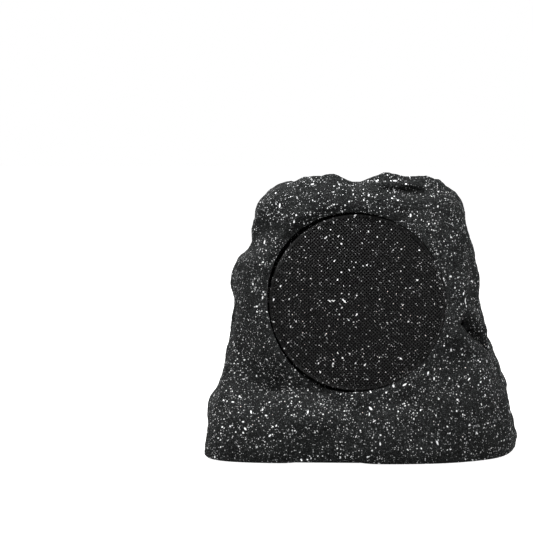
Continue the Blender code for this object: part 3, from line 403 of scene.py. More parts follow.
def metal(name, colour, rough=0.35, brushed=(1, 1, 1), vary=0.15, metallic=1.0):
    """Metal or painted metal with fine brushing and dull patches."""
    tree = Tree(name, Metallic=metallic)
    lines = tree.noise(0.35, 2, tree.stretched(*brushed))
    patches = tree.noise(7, 4)
    tone = tree.shades(patches, colour, 1 - vary, 1 + vary)
    roughness = tree.ramp(patches, 0.3, 0.7, rough - 0.07, rough + 0.1)
    return tree.use(Base_Color=tone, Roughness=roughness, Normal=tree.bump(lines, 0.2, 0.03))


def woven(name, colour):
    """Thin woven cloth."""
    tree = Tree(name, Specular_IOR_Level=0.05)
    height = tree.math("MULTIPLY", tree.waves(0, 0.5), tree.waves(2, 0.5))
    tone = tree.shades(tree.ramp(height, -1, 1), colour, 0.5, 1.5)
    return tree.use(Base_Color=tone, Roughness=0.9, Normal=tree.bump(height, 0.4, 0.1))


def solar():
    """Dark cells between pale lines, under clear resin."""
    tree = Tree("solar", Coat_Weight=0.5, Coat_Roughness=0.3, Specular_IOR_Level=0.25)
    across, along, _ = tree.split(tree.vector("SUBTRACT", tree.where, PANEL_AT))
    margin = 1.9

    def lines(value, spacing, half_width, shift=0.0):
        place = tree.math("ADD", value, shift)
        place = tree.math("PINGPONG", place, spacing / 2)
        return tree.ramp(place, half_width + 0.06, half_width - 0.06)

    def beyond(value, reach):
        return tree.math("GREATER_THAN", tree.math("ABSOLUTE", value), reach)

    gaps = lines(across, 9.4, 0.28)
    bars = lines(along, 22.0, 0.55, 11.0)
    fingers = tree.math("MULTIPLY", lines(along, 1.5, 0.09), 0.3)
    ends = beyond(across, PANEL_SIZE[0] / 2 - margin)
    edge = tree.math("MAXIMUM", ends, beyond(along, PANEL_SIZE[1] / 2 - margin))
    silicon = tree.mix(tree.noise(4, 4), (0.008, 0.009, 0.012), (0.014, 0.015, 0.019))
    tone = tree.mix(fingers, silicon, (0.07, 0.072, 0.076))
    tone = tree.mix(gaps, tone, (0.07, 0.072, 0.076))
    tone = tree.mix(bars, tone, (0.2, 0.205, 0.21))
    tone = tree.mix(edge, tone, (0.03, 0.031, 0.033))
    roughness = tree.ramp(tree.noise(9, 3), 0.3, 0.7, 0.42, 0.54)
    normal = tree.bump(tree.noise(11, 2), 0.08, 0.3)
    return tree.use(Base_Color=tone, Roughness=roughness, Normal=normal)


def board_mask():
    """Green solder mask with paler tracks."""
    tree = Tree("circuit", Coat_Weight=0.4)
    _, cell = tree.cells(3.4, feature="DISTANCE_TO_EDGE")
    tracks = tree.ramp(cell.outputs["Distance"], 0.08, 0.03)
    tone = tree.mix(tracks, (0.012, 0.075, 0.03), (0.03, 0.17, 0.07))
    return tree.use(Base_Color=tone, Roughness=0.35, Normal=tree.bump(tracks, 0.3, 0.05))


def paper_cone():
    """Pressed paper pulp."""
    tree = Tree("paper", Sheen_Weight=0.1)
    fibres = tree.noise(0.7, 5, tree.stretched(1, 1, 2.2), 0.7)
    tone = tree.mix(fibres, (0.014, 0.014, 0.014), (0.05, 0.05, 0.05))
    return tree.use(Base_Color=tone, Roughness=0.85, Normal=tree.bump(fibres, 0.5, 0.15))


def windings():
    """Lacquered copper wire, wound round the coil."""
    tree = Tree("copper", Metallic=0.85, Coat_Weight=0.5)
    turns = tree.waves(1, 0.35)
    tone = tree.mix(tree.ramp(turns, -1, 1), (0.3, 0.1, 0.04), (0.62, 0.27, 0.13))
    return tree.use(Base_Color=tone, Roughness=0.32, Normal=tree.bump(turns, 0.5, 0.1))


FINISHES = {
    "rock": speckled(
        "rock", (0.0045, 0.0048, 0.0048), (0.95, 0.96, 0.97), 0.9, 0.6,
        Specular_IOR_Level=0.07,
    ),
    "grille_paint": speckled(
        "grille_paint", (0.0068, 0.0068, 0.0068), (0.92, 0.92, 0.93), 0.6, 0.34,
        Specular_IOR_Level=0.08,
    ),
    "control_plastic": moulded(
        "control_plastic", (0.017, 0.0185, 0.0185), 0.46, 0.3, (1.0, 0.05, 0.05),
        Specular_IOR_Level=0.22,
    ),
    "black_plastic": moulded("black_plastic", (0.02, 0.0205, 0.021), 0.5, 0.4),
    "silicone": moulded(
        "silicone", (0.3, 0.305, 0.303), 0.62, 0.25, vary=0.05, Sheen_Weight=0.15
    ),
    "icon": moulded("icon", (0.135, 0.137, 0.137), 0.6, 0.2, vary=0.05),
    "rubber": moulded("rubber", (0.013, 0.013, 0.013), 0.72, 0.5, vary=0.2),
    "lead": moulded("lead", (0.02, 0.02, 0.02), 0.5, 0.25, vary=0.2),
    "sleeve": moulded("sleeve", (0.03, 0.11, 0.34), 0.35, 0.15, Coat_Weight=0.3),
    "ferrite": moulded("ferrite", (0.045, 0.045, 0.05), 0.66, 0.7, vary=0.3),
    "black_steel": metal("black_steel", (0.022, 0.022, 0.023), 0.45, metallic=0.4),
    "steel": metal("steel", (0.5, 0.5, 0.5), 0.32, (1, 1, 0.1)),
    "screw": metal("screw", (0.035, 0.035, 0.036), 0.42, metallic=0.7),
    "black_screw": moulded(
        "black_screw", (0.0045, 0.0045, 0.0045), 0.5, 0.2, Specular_IOR_Level=0.12
    ),
    "cloth": woven("cloth", (0.0022, 0.0022, 0.0022)),
    "paper": paper_cone(),
    "copper": windings(),
    "solar": solar(),
    "circuit": board_mask(),
}


# ======== mesh tools
def face_frame(at, tilt_x, turn_z=0.0):
    """The matrix from a face's local millimetres to the rock's millimetres."""
    turn = Matrix.Rotation(math.radians(turn_z), 4, "Z")
    tilt = Matrix.Rotation(math.radians(tilt_x), 4, "X")
    return Matrix.Translation(at) @ turn @ tilt


WORLD = Matrix.Identity(4)
GRILLE = face_frame(GRILLE_AT, 80.0)
CONTROL = face_frame(PLATE_AT, 86.0, 180.0)
PANEL = face_frame(PANEL_AT, -6.0)


def to_local(points, place):
    matrix = np.array(place.inverted())
    return points @ matrix[:3, :3].T + matrix[:3, 3]


def to_world(points, place):
    matrix = np.array(place)
    return points @ matrix[:3, :3].T + matrix[:3, 3]


def in_scene(name, data):
    """A new object in the scene with that data."""
    obj = bpy.data.objects.new(name, data)
    bpy.context.scene.collection.objects.link(obj)
    return obj


def loose(name, vertices, faces, place=WORLD):
    """An object that isn't a piece yet, its vertices in millimetres in place's frame."""
    points = to_world(np.asarray(vertices, dtype=float), place) * MM
    mesh = bpy.data.meshes.new(name)
    mesh.from_pydata(points.tolist(), [], [list(f) for f in faces])
    mesh.update()
    return in_scene(name, mesh)


def circle(radius, centre=(0, 0), steps=24):
    angles = np.arange(steps) * 2 * math.pi / steps
    return [(centre[0] + radius * math.cos(a), centre[1] + radius * math.sin(a)) for a in angles]


def rounded_rectangle(width, height, radius, centre=(0, 0), steps=10):
    """Its outline, anticlockwise from the upper end of its right side."""
    points = []
    for quarter, (side_x, side_y) in enumerate(((1, 1), (-1, 1), (-1, -1), (1, -1))):
        x = centre[0] + side_x * (width / 2 - radius)
        y = centre[1] + side_y * (height / 2 - radius)
        for i in range(steps + 1):
            angle = math.pi / 2 * (quarter + i / steps)
            points.append((x + radius * math.cos(angle), y + radius * math.sin(angle)))
    return points


def prism(outline, low, high, place=WORLD):
    """A closed prism between two heights, to cut with."""
    count = len(outline)
    vertices = [(x, y, low) for x, y in outline] + [(x, y, high) for x, y in outline]
    faces = [list(reversed(range(count))), list(range(count, 2 * count))]
    faces += [(i, (i + 1) % count, (i + 1) % count + count, i + count) for i in range(count)]
    return loose("prism", vertices, faces, place)


def evaluated(obj):
    graph = bpy.context.evaluated_depsgraph_get()
    return bpy.data.meshes.new_from_object(obj.evaluated_get(graph))


def settle(obj):
    """Applies the object's modifiers."""
    mesh = evaluated(obj)
    obj.modifiers.clear()
    obj.data = mesh


def discard(*objects):
    for obj in objects:
        bpy.data.objects.remove(obj)


def subtract(target, *others):
    for other in others:
        modifier = target.modifiers.new("subtract", "BOOLEAN")
        modifier.operation = "DIFFERENCE"
        modifier.solver = "MANIFOLD"
        modifier.object = other
    settle(target)
    discard(*others)
    return target


def poly_curve(name, dimensions, radius, resolution, strokes):
    """A bevelled curve of straight strokes, each (points, closed)."""
    curve = bpy.data.curves.new(name, "CURVE")
    curve.dimensions = dimensions
    curve.bevel_depth = radius
    curve.bevel_resolution = resolution
    for points, closed in strokes:
        spline = curve.splines.new("POLY")
        spline.points.add(len(points) - 1)
        for point, place in zip(spline.points, points, strict=True):
            point.co = (*place, 1)
        spline.use_cyclic_u = closed
    return curve


def from_curve(name, curve, place):
    """The curve's surface as a loose object, its parts welded."""
    guide = in_scene(name + "_guide", curve)
    mesh = evaluated(guide)
    discard(guide)
    mesh.transform(place)
    mesh.transform(Matrix.Scale(MM, 4))
    weld(mesh, 0.004)
    mesh.name = name
    return in_scene(name, mesh)


def rounded_plate(name, outlines, low, high, edge, place=CONTROL, resolution=2):
    """A plate with holes between two heights, all its edges rounded by edge."""
    strokes = [([(x, y, 0) for x, y in outline], True) for outline in outlines]
    curve = poly_curve(name, "2D", edge, resolution, strokes)
    curve.fill_mode = "BOTH"
    curve.extrude = (high - low) / 2 - edge
    curve.offset = -edge
    return from_curve(name, curve, place @ Matrix.Translation((0, 0, (low + high) / 2)))


def tube(name, strokes, radius, place, flat=1.0):
    """Round strokes, each (points, closed), flattened towards the face they lie on."""
    strokes = [([(x, y, z / flat) for x, y, z in points], closed) for points, closed in strokes]
    curve = poly_curve(name, "3D", radius, 3, strokes)
    curve.use_fill_caps = True
    return from_curve(name, curve, place @ Matrix.Scale(flat, 4, (0, 0, 1)))


def weld(mesh, distance):
    bm = bmesh.new()
    bm.from_mesh(mesh)
    bmesh.ops.remove_doubles(bm, verts=bm.verts, dist=distance * MM)
    bmesh.ops.recalc_face_normals(bm, faces=bm.faces)
    bm.to_mesh(mesh)
    bm.free()


def turned(name, profile, place=WORLD, steps=ROUND):
    """A solid of revolution about local Z. A profile that starts on the axis ends there too;
    any other closes on itself."""
    on_axis = profile[0][0] == 0
    rings = profile[1:-1] if on_axis else profile
    vertices = []
    for radius, height in rings:
        vertices += [(x, y, height) for x, y in circle(radius, steps=steps)]
    faces = []
    count = len(rings)
    for k in range(count - 1 if on_axis else count):
        a, b = k * steps, (k + 1) % count * steps
        faces += [(a + i, a + (i + 1) % steps, b + (i + 1) % steps, b + i) for i in range(steps)]
    if on_axis:
        vertices += [(0, 0, profile[0][1]), (0, 0, profile[-1][1])]
        first, last = len(vertices) - 2, len(vertices) - 1
        end = (count - 1) * steps
        faces += [(first, (i + 1) % steps, i) for i in range(steps)]
        faces += [(last, end + i, end + (i + 1) % steps) for i in range(steps)]
    obj = loose(name, vertices, faces, place)
    weld(obj.data, 0.0001)
    return obj


def joined(name, *objects):
    """The objects' meshes as one object."""
    bm = bmesh.new()
    for obj in objects:
        bm.from_mesh(obj.data)
    mesh = bpy.data.meshes.new(name)
    bm.to_mesh(mesh)
    bm.free()
    discard(*objects)
    return in_scene(name, mesh)


def piece(obj, finish, body="housing", stands_for=(), angle=35.0, flat_faces=True):
    """Gives a loose object its finish and its place in the frame."""
    obj.data.materials.clear()
    obj.data.materials.append(FINISHES[finish])
    obj.data.shade_smooth()
    obj.data.set_sharp_from_angle(angle=math.radians(angle))
    if flat_faces:
        weighted = obj.modifiers.new("weighted_normals", "WEIGHTED_NORMAL")
        weighted.keep_sharp = True
        weighted.weight = 100
    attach(obj, body)
    if stands_for:
        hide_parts(*stands_for)
    return obj


# ======== the rock's surface
def smooth_step(x):
    """0 to 1, level at both ends."""
    x = np.clip(x, 0.0, 1.0)
    return x * x * (3 - 2 * x)


def stations_at(t):
    """The stations' six values at each t, which counts along STATIONS."""
    table = np.array(STATIONS)
    last = len(table) - 1
    i = np.minimum(t.astype(int), last - 1)
    f = (t - i)[:, None]
    before, low, high, after = (table[np.clip(i + k, 0, last)] for k in (-1, 0, 1, 2))
    values = 0.5 * (
        2 * low
        + (high - before) * f
        + (2 * before - 5 * low + 4 * high - after) * f * f
        + (3 * low - before - 3 * high + after) * f**3
    )
    return values.T


def near_spine(points, start, end):
    """Each point's distance from the line between start and end."""
    start, end = np.array(start, float), np.array(end, float)
    along = end - start
    share = np.clip((points - start) @ along / (along @ along), 0, 1)
    return np.linalg.norm(points - start - share[:, None] * along, axis=1)


def pushes(points, lumps):
    """How far the lumps move each point."""
    total = np.zeros_like(points)
    for start, end, spread, push in lumps:
        away = near_spine(points, start, end) / spread
        total += np.array(push) * np.exp(-away * away)[:, None]
    return total


def press_flat(points, place, outside, margin, level):
    """Moves points to a face's level, wholly inside its outline and less beyond it."""
    local = to_local(points, place)
    weight = 1 - smooth_step(outside(local) / margin)
    weight[local[:, 2] < -margin - WALL] = 0
    local[:, 2] += (level(local) - local[:, 2]) * weight
    return to_world(local, place)


def box_distance(local, size, corner=0.0):
    """How far outside a rounded rectangle each point lies, in plan."""
    x = np.maximum(np.abs(local[:, 0]) - size[0] / 2 + corner, 0)
    y = np.maximum(np.abs(local[:, 1]) - size[1] / 2 + corner, 0)
    return np.hypot(x, y) - corner


def grille_level(local):
    """How far the rock stands out round the grille: most on the left, least on the right."""
    across = local[:, 0] / np.maximum(np.hypot(local[:, 0], local[:, 1]), 1e-6)
    return (LIP_LEFT + LIP_RIGHT) / 2 - (LIP_LEFT - LIP_RIGHT) / 2 * across


def roll_down(local, away, roll, reach, place):
    """Lowers points by roll where they are near a recess's edge and near its face."""
    roll[(away < -4) | (np.abs(local[:, 2]) > reach)] = 0
    local[:, 2] -= roll
    return to_world(local, place)


def soften(points, place, outside, width, drop):
    """Rolls the surface down towards a recess's edge."""
    local = to_local(points, place)
    away = outside(local)
    return roll_down(local, away, np.clip(1 - away / width, 0, 1) ** 2 * drop, 40, place)


def recess_edge(turn):
    """The recess's radius, and the width and depth of the roll into it, at each direction."""
    edge = np.tile([[RECESS_RADIUS], [2.6], [0.5]], (1, len(turn)))
    for at, spread, *more in GROOVES:
        near = np.exp(-((((turn - at + 180) % 360 - 180) / spread) ** 2))
        edge += np.array(more)[:, None] * near
    return edge


def recess_outline(steps=192):
    """The recess's edge, in the grille's frame."""
    turns = np.arange(steps) * 360 / steps
    radius = recess_edge(turns)[0]
    a = np.radians(turns)
    return list(zip(radius * np.cos(a), radius * np.sin(a), strict=True))


def groove(points):
    """Rolls the rock down into the grille's recess."""
    local = to_local(points, GRILLE)
    radius, width, drop = recess_edge(np.degrees(np.arctan2(local[:, 1], local[:, 0])))
    away = np.hypot(local[:, 0], local[:, 1]) - radius
    return roll_down(local, away, smooth_step(1 - away / width) * drop, 30, GRILLE)


def rock_points(angle, t, inset=0.0, shrink=1.0, fine=False):
    """Points of the rock's surface, in millimetres, or of one that lies inset within it.
    angle goes round it and t up it, along STATIONS; shrink closes it over the crown."""
    z_front, z_back, left, right, front, back = stations_at(t)
    c, s = np.cos(angle), np.sin(angle)
    corner = np.array(CORNERS)[2 * (s > 0) + (c > 0)].T
    share = t / (len(STATIONS) - 1)
    square = corner[0] + (corner[1] - corner[0]) * smooth_step(share / SQUAREST_AT)
    square += (corner[2] - corner[1]) * smooth_step((share - SQUAREST_AT) / (1 - SQUAREST_AT))
    reach_x = np.where(c > 0, right, left) - inset
    reach_y = np.where(s > 0, back, front) - inset
    reach = (np.abs(c / reach_x) ** square + np.abs(s / reach_y) ** square) ** (-1 / square)
    x, y = reach * c * shrink, reach * s * shrink
    z = z_front + (z_back - z_front) * (y + front) / (front + back)
    z = z * (CREST_HEIGHT - inset) / CREST_HEIGHT
    points = np.stack([x, y, z], axis=1)
    moved = press_flat(
        points + pushes(points, LUMPS),
        GRILLE,
        lambda local: np.hypot(local[:, 0], local[:, 1]) - GRILLE_FLAT_RADIUS,
        GRILLE_FLAT_MARGIN,
        lambda local: grille_level(local) - inset,
    )
    moved = press_flat(
        moved,
        CONTROL,
        lambda local: box_distance(local, PLATE_FLAT),
        PLATE_FLAT_MARGIN,
        lambda local: -inset,
    )
    if fine:
        outer = rock_points(angle, t, 0.0, shrink) if inset else moved
        moved = moved + pushes(outer, FINE_LUMPS)
    return moved


def rings_of(t_values, columns, inset, shrinks, fine=False):
    """The rock's rings as an array of rows by columns by 3."""
    angles = np.arange(columns) * 2 * math.pi / columns
    top = float(len(STATIONS) - 1)
    rows = [(t, 1.0) for t in t_values] + [(top, s) for s in shrinks]
    t = np.repeat([r[0] for r in rows], columns)
    shrink = np.repeat([r[1] for r in rows], columns)
    points = rock_points(np.tile(angles, len(rows)), t, inset, shrink, fine)
    return points.reshape(len(rows), columns, 3)


def closed_loft(name, rings):
    """A closed solid through the rings, with a flat foot and a fan at the top."""
    rows, columns = rings.shape[:2]
    vertices = np.vstack([rings.reshape(-1, 3), rings[-1].mean(axis=0)])
    i = np.arange(columns)
    j = (i + 1) % columns
    first = np.stack([i, j, columns + j, columns + i], 1)
    faces = np.vstack([first + k * columns for k in range(rows - 1)]).tolist()
    faces.append(list(range(columns))[::-1])
    top = (rows - 1) * columns
    faces += [(top + a, top + b, rows * columns) for a, b in zip(i.tolist(), j.tolist())]
    return loose(name, vertices, faces)


def even_rows(count, samples=400):
    """Values of t evenly spaced along the rock's front and its right side."""
    t = np.linspace(0, len(STATIONS) - 1, samples)
    front = rock_points(np.full(samples, -math.pi / 2), t)
    side = rock_points(np.zeros(samples), t)
    steps = np.linalg.norm(np.diff(front, axis=0), axis=1)
    steps += np.linalg.norm(np.diff(side, axis=0), axis=1)
    length = np.concatenate([[0], np.cumsum(steps)])
    return np.interp(np.linspace(0, length[-1], count), length, t)


def weathered(rings):
    """The fine rock's rings with stone relief pushed along their normals."""
    around = np.roll(rings, -1, axis=1) - np.roll(rings, 1, axis=1)
    upward = np.gradient(rings, axis=0)
    normals = np.cross(around, upward)
    normals /= np.maximum(np.linalg.norm(normals, axis=2, keepdims=True), 1e-9)

    def relief_at(point):
        broad = noise.fractal(point / 34, 1.0, 2.0, 2)
        chips = noise.noise(point / 11)
        pits = noise.fractal(point / 4.2, 0.8, 2.0, 2)
        return broad * 3.0 + chips * 1.1 + pits * 0.45

    relief = np.array([relief_at(Vector(point)) for point in rings.reshape(-1, 3)])
    relief = relief.reshape(rings.shape[:2])
    relief[0] = 0
    return rings + normals * relief[..., None]


def plan_outline(height, inset, columns=PLAN_COLUMNS):
    """The rock's outline near the ground, in plan, inset by that much."""
    heights = [row[0] for row in STATIONS]
    i = max(k for k, z in enumerate(heights) if z <= height)
    t = i + (height - heights[i]) / (heights[i + 1] - heights[i])
    angles = np.arange(columns) * 2 * math.pi / columns
    points = rock_points(angles, np.full(columns, float(t)), inset)
    return [tuple(p[:2]) for p in points]


def base_screw_places():
    """In plan, from the rock's middle."""
    angles = np.radians(BASE_SCREW_ANGLES)
    points = rock_points(angles, np.full(len(angles), 1.0), BASE_SCREW_INSET)
    return [tuple(p[:2]) for p in points]


def driver_screw_places():
    """In the grille's frame."""
    angles = [math.radians(45 + 90 * k) for k in range(4)]
    return [(DRIVER_SCREW_CIRCLE * math.cos(a), DRIVER_SCREW_CIRCLE * math.sin(a)) for a in angles]


def make_cavity():
    """The rock's hollow, less the walls that carry the baffle, plate, panel and base."""
    top = len(STATIONS) - 1
    rows = np.linspace(0, top, CAVITY_ROWS + 1)
    rings = rings_of(rows, CAVITY_COLUMNS, VISUAL_WALL, (0.8, 0.5), fine=True)
    foot = rings[:1].copy()
    foot[..., 2] = -6.0
    cavity = closed_loft("cavity", np.concatenate([foot, rings]))
    ledge = subtract(
        prism(plan_outline(SEAL_TOP, -4), SEAL_TOP + GAP, LEDGE_TOP),
        prism(plan_outline(SEAL_TOP, 13), 0, 60),
    )
    plate_block = rounded_rectangle(PLATE_SIZE[0] + 13, PLATE_SIZE[1] + 12, 12, steps=4)
    panel_block = rounded_rectangle(*PANEL_TUB, 6, steps=4)
    subtract(
        cavity,
        prism(circle(BAFFLE_RADIUS, steps=48), BAFFLE_BACK, CLEAR, GRILLE),
        prism(plate_block, LEDGE_BACK, CLEAR, CONTROL),
        prism(panel_block, PANEL_TUB_BACK, CLEAR, PANEL),
        ledge,
    )
    bosses = [
        prism(circle(BOSS_RADIUS, at, 16), LEDGE_TOP - 1, BOSS_TOP)
        for at in base_screw_places()
    ]
    return subtract(cavity, *bosses)


def make_rock():
    """The shell: the weathered rock less its hollow, its recesses and its screw holes."""
    rings = weathered(rings_of(even_rows(ROWS), COLUMNS, 0.0, CROWN_SHRINKS, fine=True))
    points = groove(rings.reshape(-1, 3))
    points = soften(
        points, CONTROL, lambda local: box_distance(local, POCKET_SIZE, PLATE_CORNER), 3.5, 1.0
    )
    points = soften(points, PANEL, lambda local: box_distance(local, PANEL_RECESS), 4.0, 1.2)
    rock = closed_loft("rock", points.reshape(rings.shape))
    subtract(rock, make_cavity())
    pocket = rounded_rectangle(*POCKET_SIZE, PLATE_CORNER + 0.7)
    notch_place = Matrix.Rotation(math.radians(-90), 4, "X")
    notch = [(x, -z) for x, z in reversed(NOTCH)]
    drains = []
    for side in (-1, 1):
        x = side * (PANEL_RECESS[0] - DRAIN_WIDTH) / 2
        y = PANEL_RECESS[1] / 2 + 15
        outline = rounded_rectangle(DRAIN_WIDTH, 36, 2, (x, y))
        drains.append(prism(outline, -0.8, CLEAR, PANEL))
    subtract(
        rock,
        prism(recess_outline(), BAFFLE_FACE, CLEAR, GRILLE),
        prism(circle(DRIVER_HOLE_RADIUS, steps=ROUND), -40, CLEAR, GRILLE),
        prism(pocket, POCKET_FLOOR, CLEAR, CONTROL),
        prism(rounded_rectangle(*WINDOW_SIZE, 4), -CLEAR, CLEAR, CONTROL),
        prism(rounded_rectangle(*PANEL_RECESS, 1.5), PANEL_LEDGE, CLEAR, PANEL),
        prism(circle(4.0, (0, 12)), -CLEAR, 10, PANEL),
        *drains,
        prism(notch, *NOTCH_DEPTH, notch_place),
    )
    pilots = [
        prism(circle(PILOT_RADIUS, at, 12), low, high, place)
        for places, low, high, place in (
            (driver_screw_places(), -21, 0, GRILLE),
            (PLATE_SCREWS, -12, 0, CONTROL),
            (base_screw_places(), 0, 33, WORLD),
        )
        for at in places
    ]
    subtract(rock, joined("pilots", *pilots))
    piece(rock, "rock", stands_for=("rock_shell",), angle=50, flat_faces=False)


# ======== grille
def dome(radius):
    """The grille's height at that radius."""
    return GRILLE_RIM + GRILLE_RISE * (1 - (radius / GRILLE_RADIUS) ** 2)


def make_grille():
    """A domed sheet pierced on a square lattice that stands on its corner, with a plain rim."""
    inside = GRILLE_RADIUS - GRILLE_BORDER
    half = int(inside / PITCH) + 1
    i, j = np.meshgrid(np.arange(-half, half + 1), np.arange(-half, half + 1))
    i, j = i.ravel(), j.ravel()
    kept = np.hypot(i, j) * PITCH < inside
    i, j = i[kept], j[kept]
    # Eight points round each cell's edge, in half pitches, shared with its neighbours
    edge = np.array([(1, 0), (1, 1), (0, 1), (-1, 1), (-1, 0), (-1, -1), (0, -1), (1, -1)])
    keys = np.stack([2 * i, 2 * j], 1)[:, None, :] + edge[None]
    corners, index = np.unique(keys.reshape(-1, 2), axis=0, return_inverse=True)
    index = index.reshape(-1, 8)
    outer = corners * PITCH / 2
    turns = np.arange(8) * math.pi / 4
    hole = np.stack([np.cos(turns), np.sin(turns)], 1) * HOLE_RADIUS
    inner = (np.stack([i, j], 1)[:, None, :] * PITCH + hole[None]).reshape(-1, 2)
    flat = np.vstack([outer, inner])
    half_root = math.sqrt(0.5)
    x = (flat[:, 0] - flat[:, 1]) * half_root
    y = (flat[:, 0] + flat[:, 1]) * half_root
    vertices = np.stack([x, y, dome(np.hypot(x, y))], 1)
    first = len(outer) + 8 * np.arange(len(i))
    faces = []
    for k in range(8):
        n = (k + 1) % 8
        faces.append(np.stack([index[:, k], index[:, n], first + n, first + k], 1))
    sheet = loose("sheet", vertices, np.vstack(faces).tolist(), GRILLE)
    solid = sheet.modifiers.new("sheet", "SOLIDIFY")
    solid.thickness = GRILLE_SHEET * MM
    solid.offset = -1
    settle(sheet)
    start = inside - 0.8
    proud = 0.06
    rim = [
        (start, dome(start) + proud * 0.4),
        (start + 0.3, dome(start) + proud),
        (GRILLE_RADIUS - 0.5, dome(GRILLE_RADIUS - 0.5) + proud),
        (GRILLE_RADIUS + 0.1, GRILLE_RIM - 0.1),
        (GRILLE_RADIUS + 0.25, GRILLE_RIM - 0.4),
        (GRILLE_RADIUS + 0.25, GRILLE_RIM - 1.4),
        (GRILLE_RADIUS, GRILLE_SKIRT),
        (GRILLE_RADIUS - GRILLE_SHEET, GRILLE_SKIRT),
        (GRILLE_RADIUS - GRILLE_SHEET, GRILLE_RIM - 1.2),
        (start, dome(start) - GRILLE_SHEET),
    ]
    grille = joined("perforated_grille", sheet, turned("rim", rim, GRILLE, 160))
    piece(grille, "grille_paint", stands_for=("grille",), angle=40, flat_faces=False)


# ======== control plate
def arc(radius, start, end, centre, z, steps=20):
    """Points from one angle to the other, in degrees."""
    turns = np.radians(np.linspace(start, end, steps))
    return [(centre[0] + radius * math.cos(a), centre[1] + radius * math.sin(a), z) for a in turns]


def make_control_plate():
    """The screwed plate with the cover's well, and the housing behind it."""
    outline = rounded_rectangle(*PLATE_SIZE, PLATE_CORNER)
    sinks = [circle(SINK_RADIUS, at, 32) for at in PLATE_SCREWS]
    well_left = -COVER_SIZE[0] / 2 - 0.4
    tab_left = -(COVER_SIZE[0] / 2 + TAB_SIZE[0]) - 1.2
    tab_half = TAB_SIZE[1] / 2 + 0.5
    well = rounded_rectangle(
        COVER_SIZE[0] + 0.8, COVER_SIZE[1] + 0.8, COVER_CORNER + 0.4, (0, COVER_CENTRE_Y)
    )
    tab = [
        (well_left, COVER_CENTRE_Y + tab_half),
        (tab_left + 1.5, COVER_CENTRE_Y + tab_half),
        (tab_left, COVER_CENTRE_Y + tab_half - 1.5),
        (tab_left, COVER_CENTRE_Y - tab_half + 1.5),
        (tab_left + 1.5, COVER_CENTRE_Y - tab_half),
        (well_left, COVER_CENTRE_Y - tab_half),
    ]
    # The well's outline runs anticlockwise from its right side; the tab joins at the left
    split = len(well) // 2
    well = well[:split] + tab + well[split:]
    upper = rounded_plate("upper", [outline, well, *sinks], WELL_FLOOR - 0.3, PLATE_FACE, 0.45)
    usb_hole = rounded_rectangle(*USB_POCKET, 2, USB_AT)
    lower_holes = [
        usb_hole,
        rounded_rectangle(2.6, 22.6, 1, PEG_AT, 3),
        *[circle(KEY_RADIUS + 0.4, (x, COVER_CENTRE_Y), 40) for x in BUTTONS.values()],
        *[circle(PILOT_RADIUS, at, 16) for at in PLATE_SCREWS],
    ]
    lower = rounded_plate(
        "lower", [outline, *lower_holes], PLATE_BACK, WELL_FLOOR, 0.15, resolution=1
    )
    wall_top = PLATE_BACK + 0.5
    inside = (HOUSING_SIZE[0] - 2 * HOUSING_WALL, HOUSING_SIZE[1] - 2 * HOUSING_WALL)
    housing = [rounded_rectangle(*HOUSING_SIZE, 4), rounded_rectangle(*inside, 2)]
    walls = rounded_plate("walls", housing, HOUSING_BACK, wall_top, 0.3, resolution=1)
    usb_wall = rounded_rectangle(USB_POCKET[0] + 4, USB_POCKET[1] + 4, 3, USB_AT)
    usb = rounded_plate(
        "usb_walls", [usb_wall, usb_hole], USB_MOUTH + GAP, wall_top, 0.3, resolution=1
    )
    bosses = []
    for at in BOARD_SCREWS:
        rings = [circle(3.6, at), circle(PILOT_RADIUS, at, 12)]
        bosses.append(
            rounded_plate("board_boss", rings, BOARD_TOP + GAP, wall_top, 0.2, resolution=1)
        )
    plate = joined("moulded_control_plate", upper, lower, walls, usb, *bosses)
    piece(plate, "control_plastic", stands_for=("control_plate",))


def make_cover():
    """The silicone flap with its pull tab and plug, and the edge that anchors it."""
    edge = 0.5
    full = rounded_rectangle(*COVER_SIZE, COVER_CORNER, (0, COVER_CENTRE_Y))
    top = COVER_CENTRE_Y + COVER_SIZE[1] / 2
    bottom = COVER_CENTRE_Y - COVER_SIZE[1] / 2
    left_part = [p for p in full if p[0] < 0]
    outline = [(HINGE_X, top), *left_part, (HINGE_X, bottom)]
    holes = [circle(PAD_RADIUS + GAP, (x, COVER_CENTRE_Y), 48) for x in BUTTONS.values()]
    flap = rounded_plate(
        "flap", [outline, *holes], COVER_BOTTOM, COVER_TOP, edge, resolution=3
    )
    tab_centre = (-COVER_SIZE[0] / 2 - TAB_SIZE[0] / 2 + 2.3, COVER_CENTRE_Y)
    tab_outline = rounded_rectangle(TAB_SIZE[0] + 4, TAB_SIZE[1], 2.4, tab_centre)
    tab = rounded_plate(
        "tab", [tab_outline], COVER_BOTTOM, COVER_TOP - 0.5, 0.6, resolution=3
    )
    plug_outline = rounded_rectangle(USB_POCKET[0] - 0.8, USB_POCKET[1] - 0.8, 1.8, USB_AT)
    plug = rounded_plate("plug", [plug_outline], COVER_BOTTOM - 1.5, COVER_BOTTOM + 1, 0.4)
    cover = joined("silicone_cover", flap, tab, plug)
    piece(cover, "silicone", "cover", ("port_cover",))

    strip = HINGE_X + 0.1
    right_part = [p for p in full if p[0] > 0]
    upper = [p for p in right_part if p[1] > COVER_CENTRE_Y]
    lower = [p for p in right_part if p[1] < COVER_CENTRE_Y]
    outline = [(strip, bottom), *lower, *upper, (strip, top)]
    anchor = rounded_plate("anchor", [outline], COVER_BOTTOM, COVER_TOP, edge, resolution=3)
    peg_outline = rounded_rectangle(2.0, 22.0, 0.7, PEG_AT, 3)
    peg = rounded_plate("peg", [peg_outline], PLATE_BACK - 1.0, COVER_BOTTOM + 1, 0.2)
    anchored = joined("anchored_edge", anchor, peg)
    piece(anchored, "silicone", stands_for=("cover_anchor",))


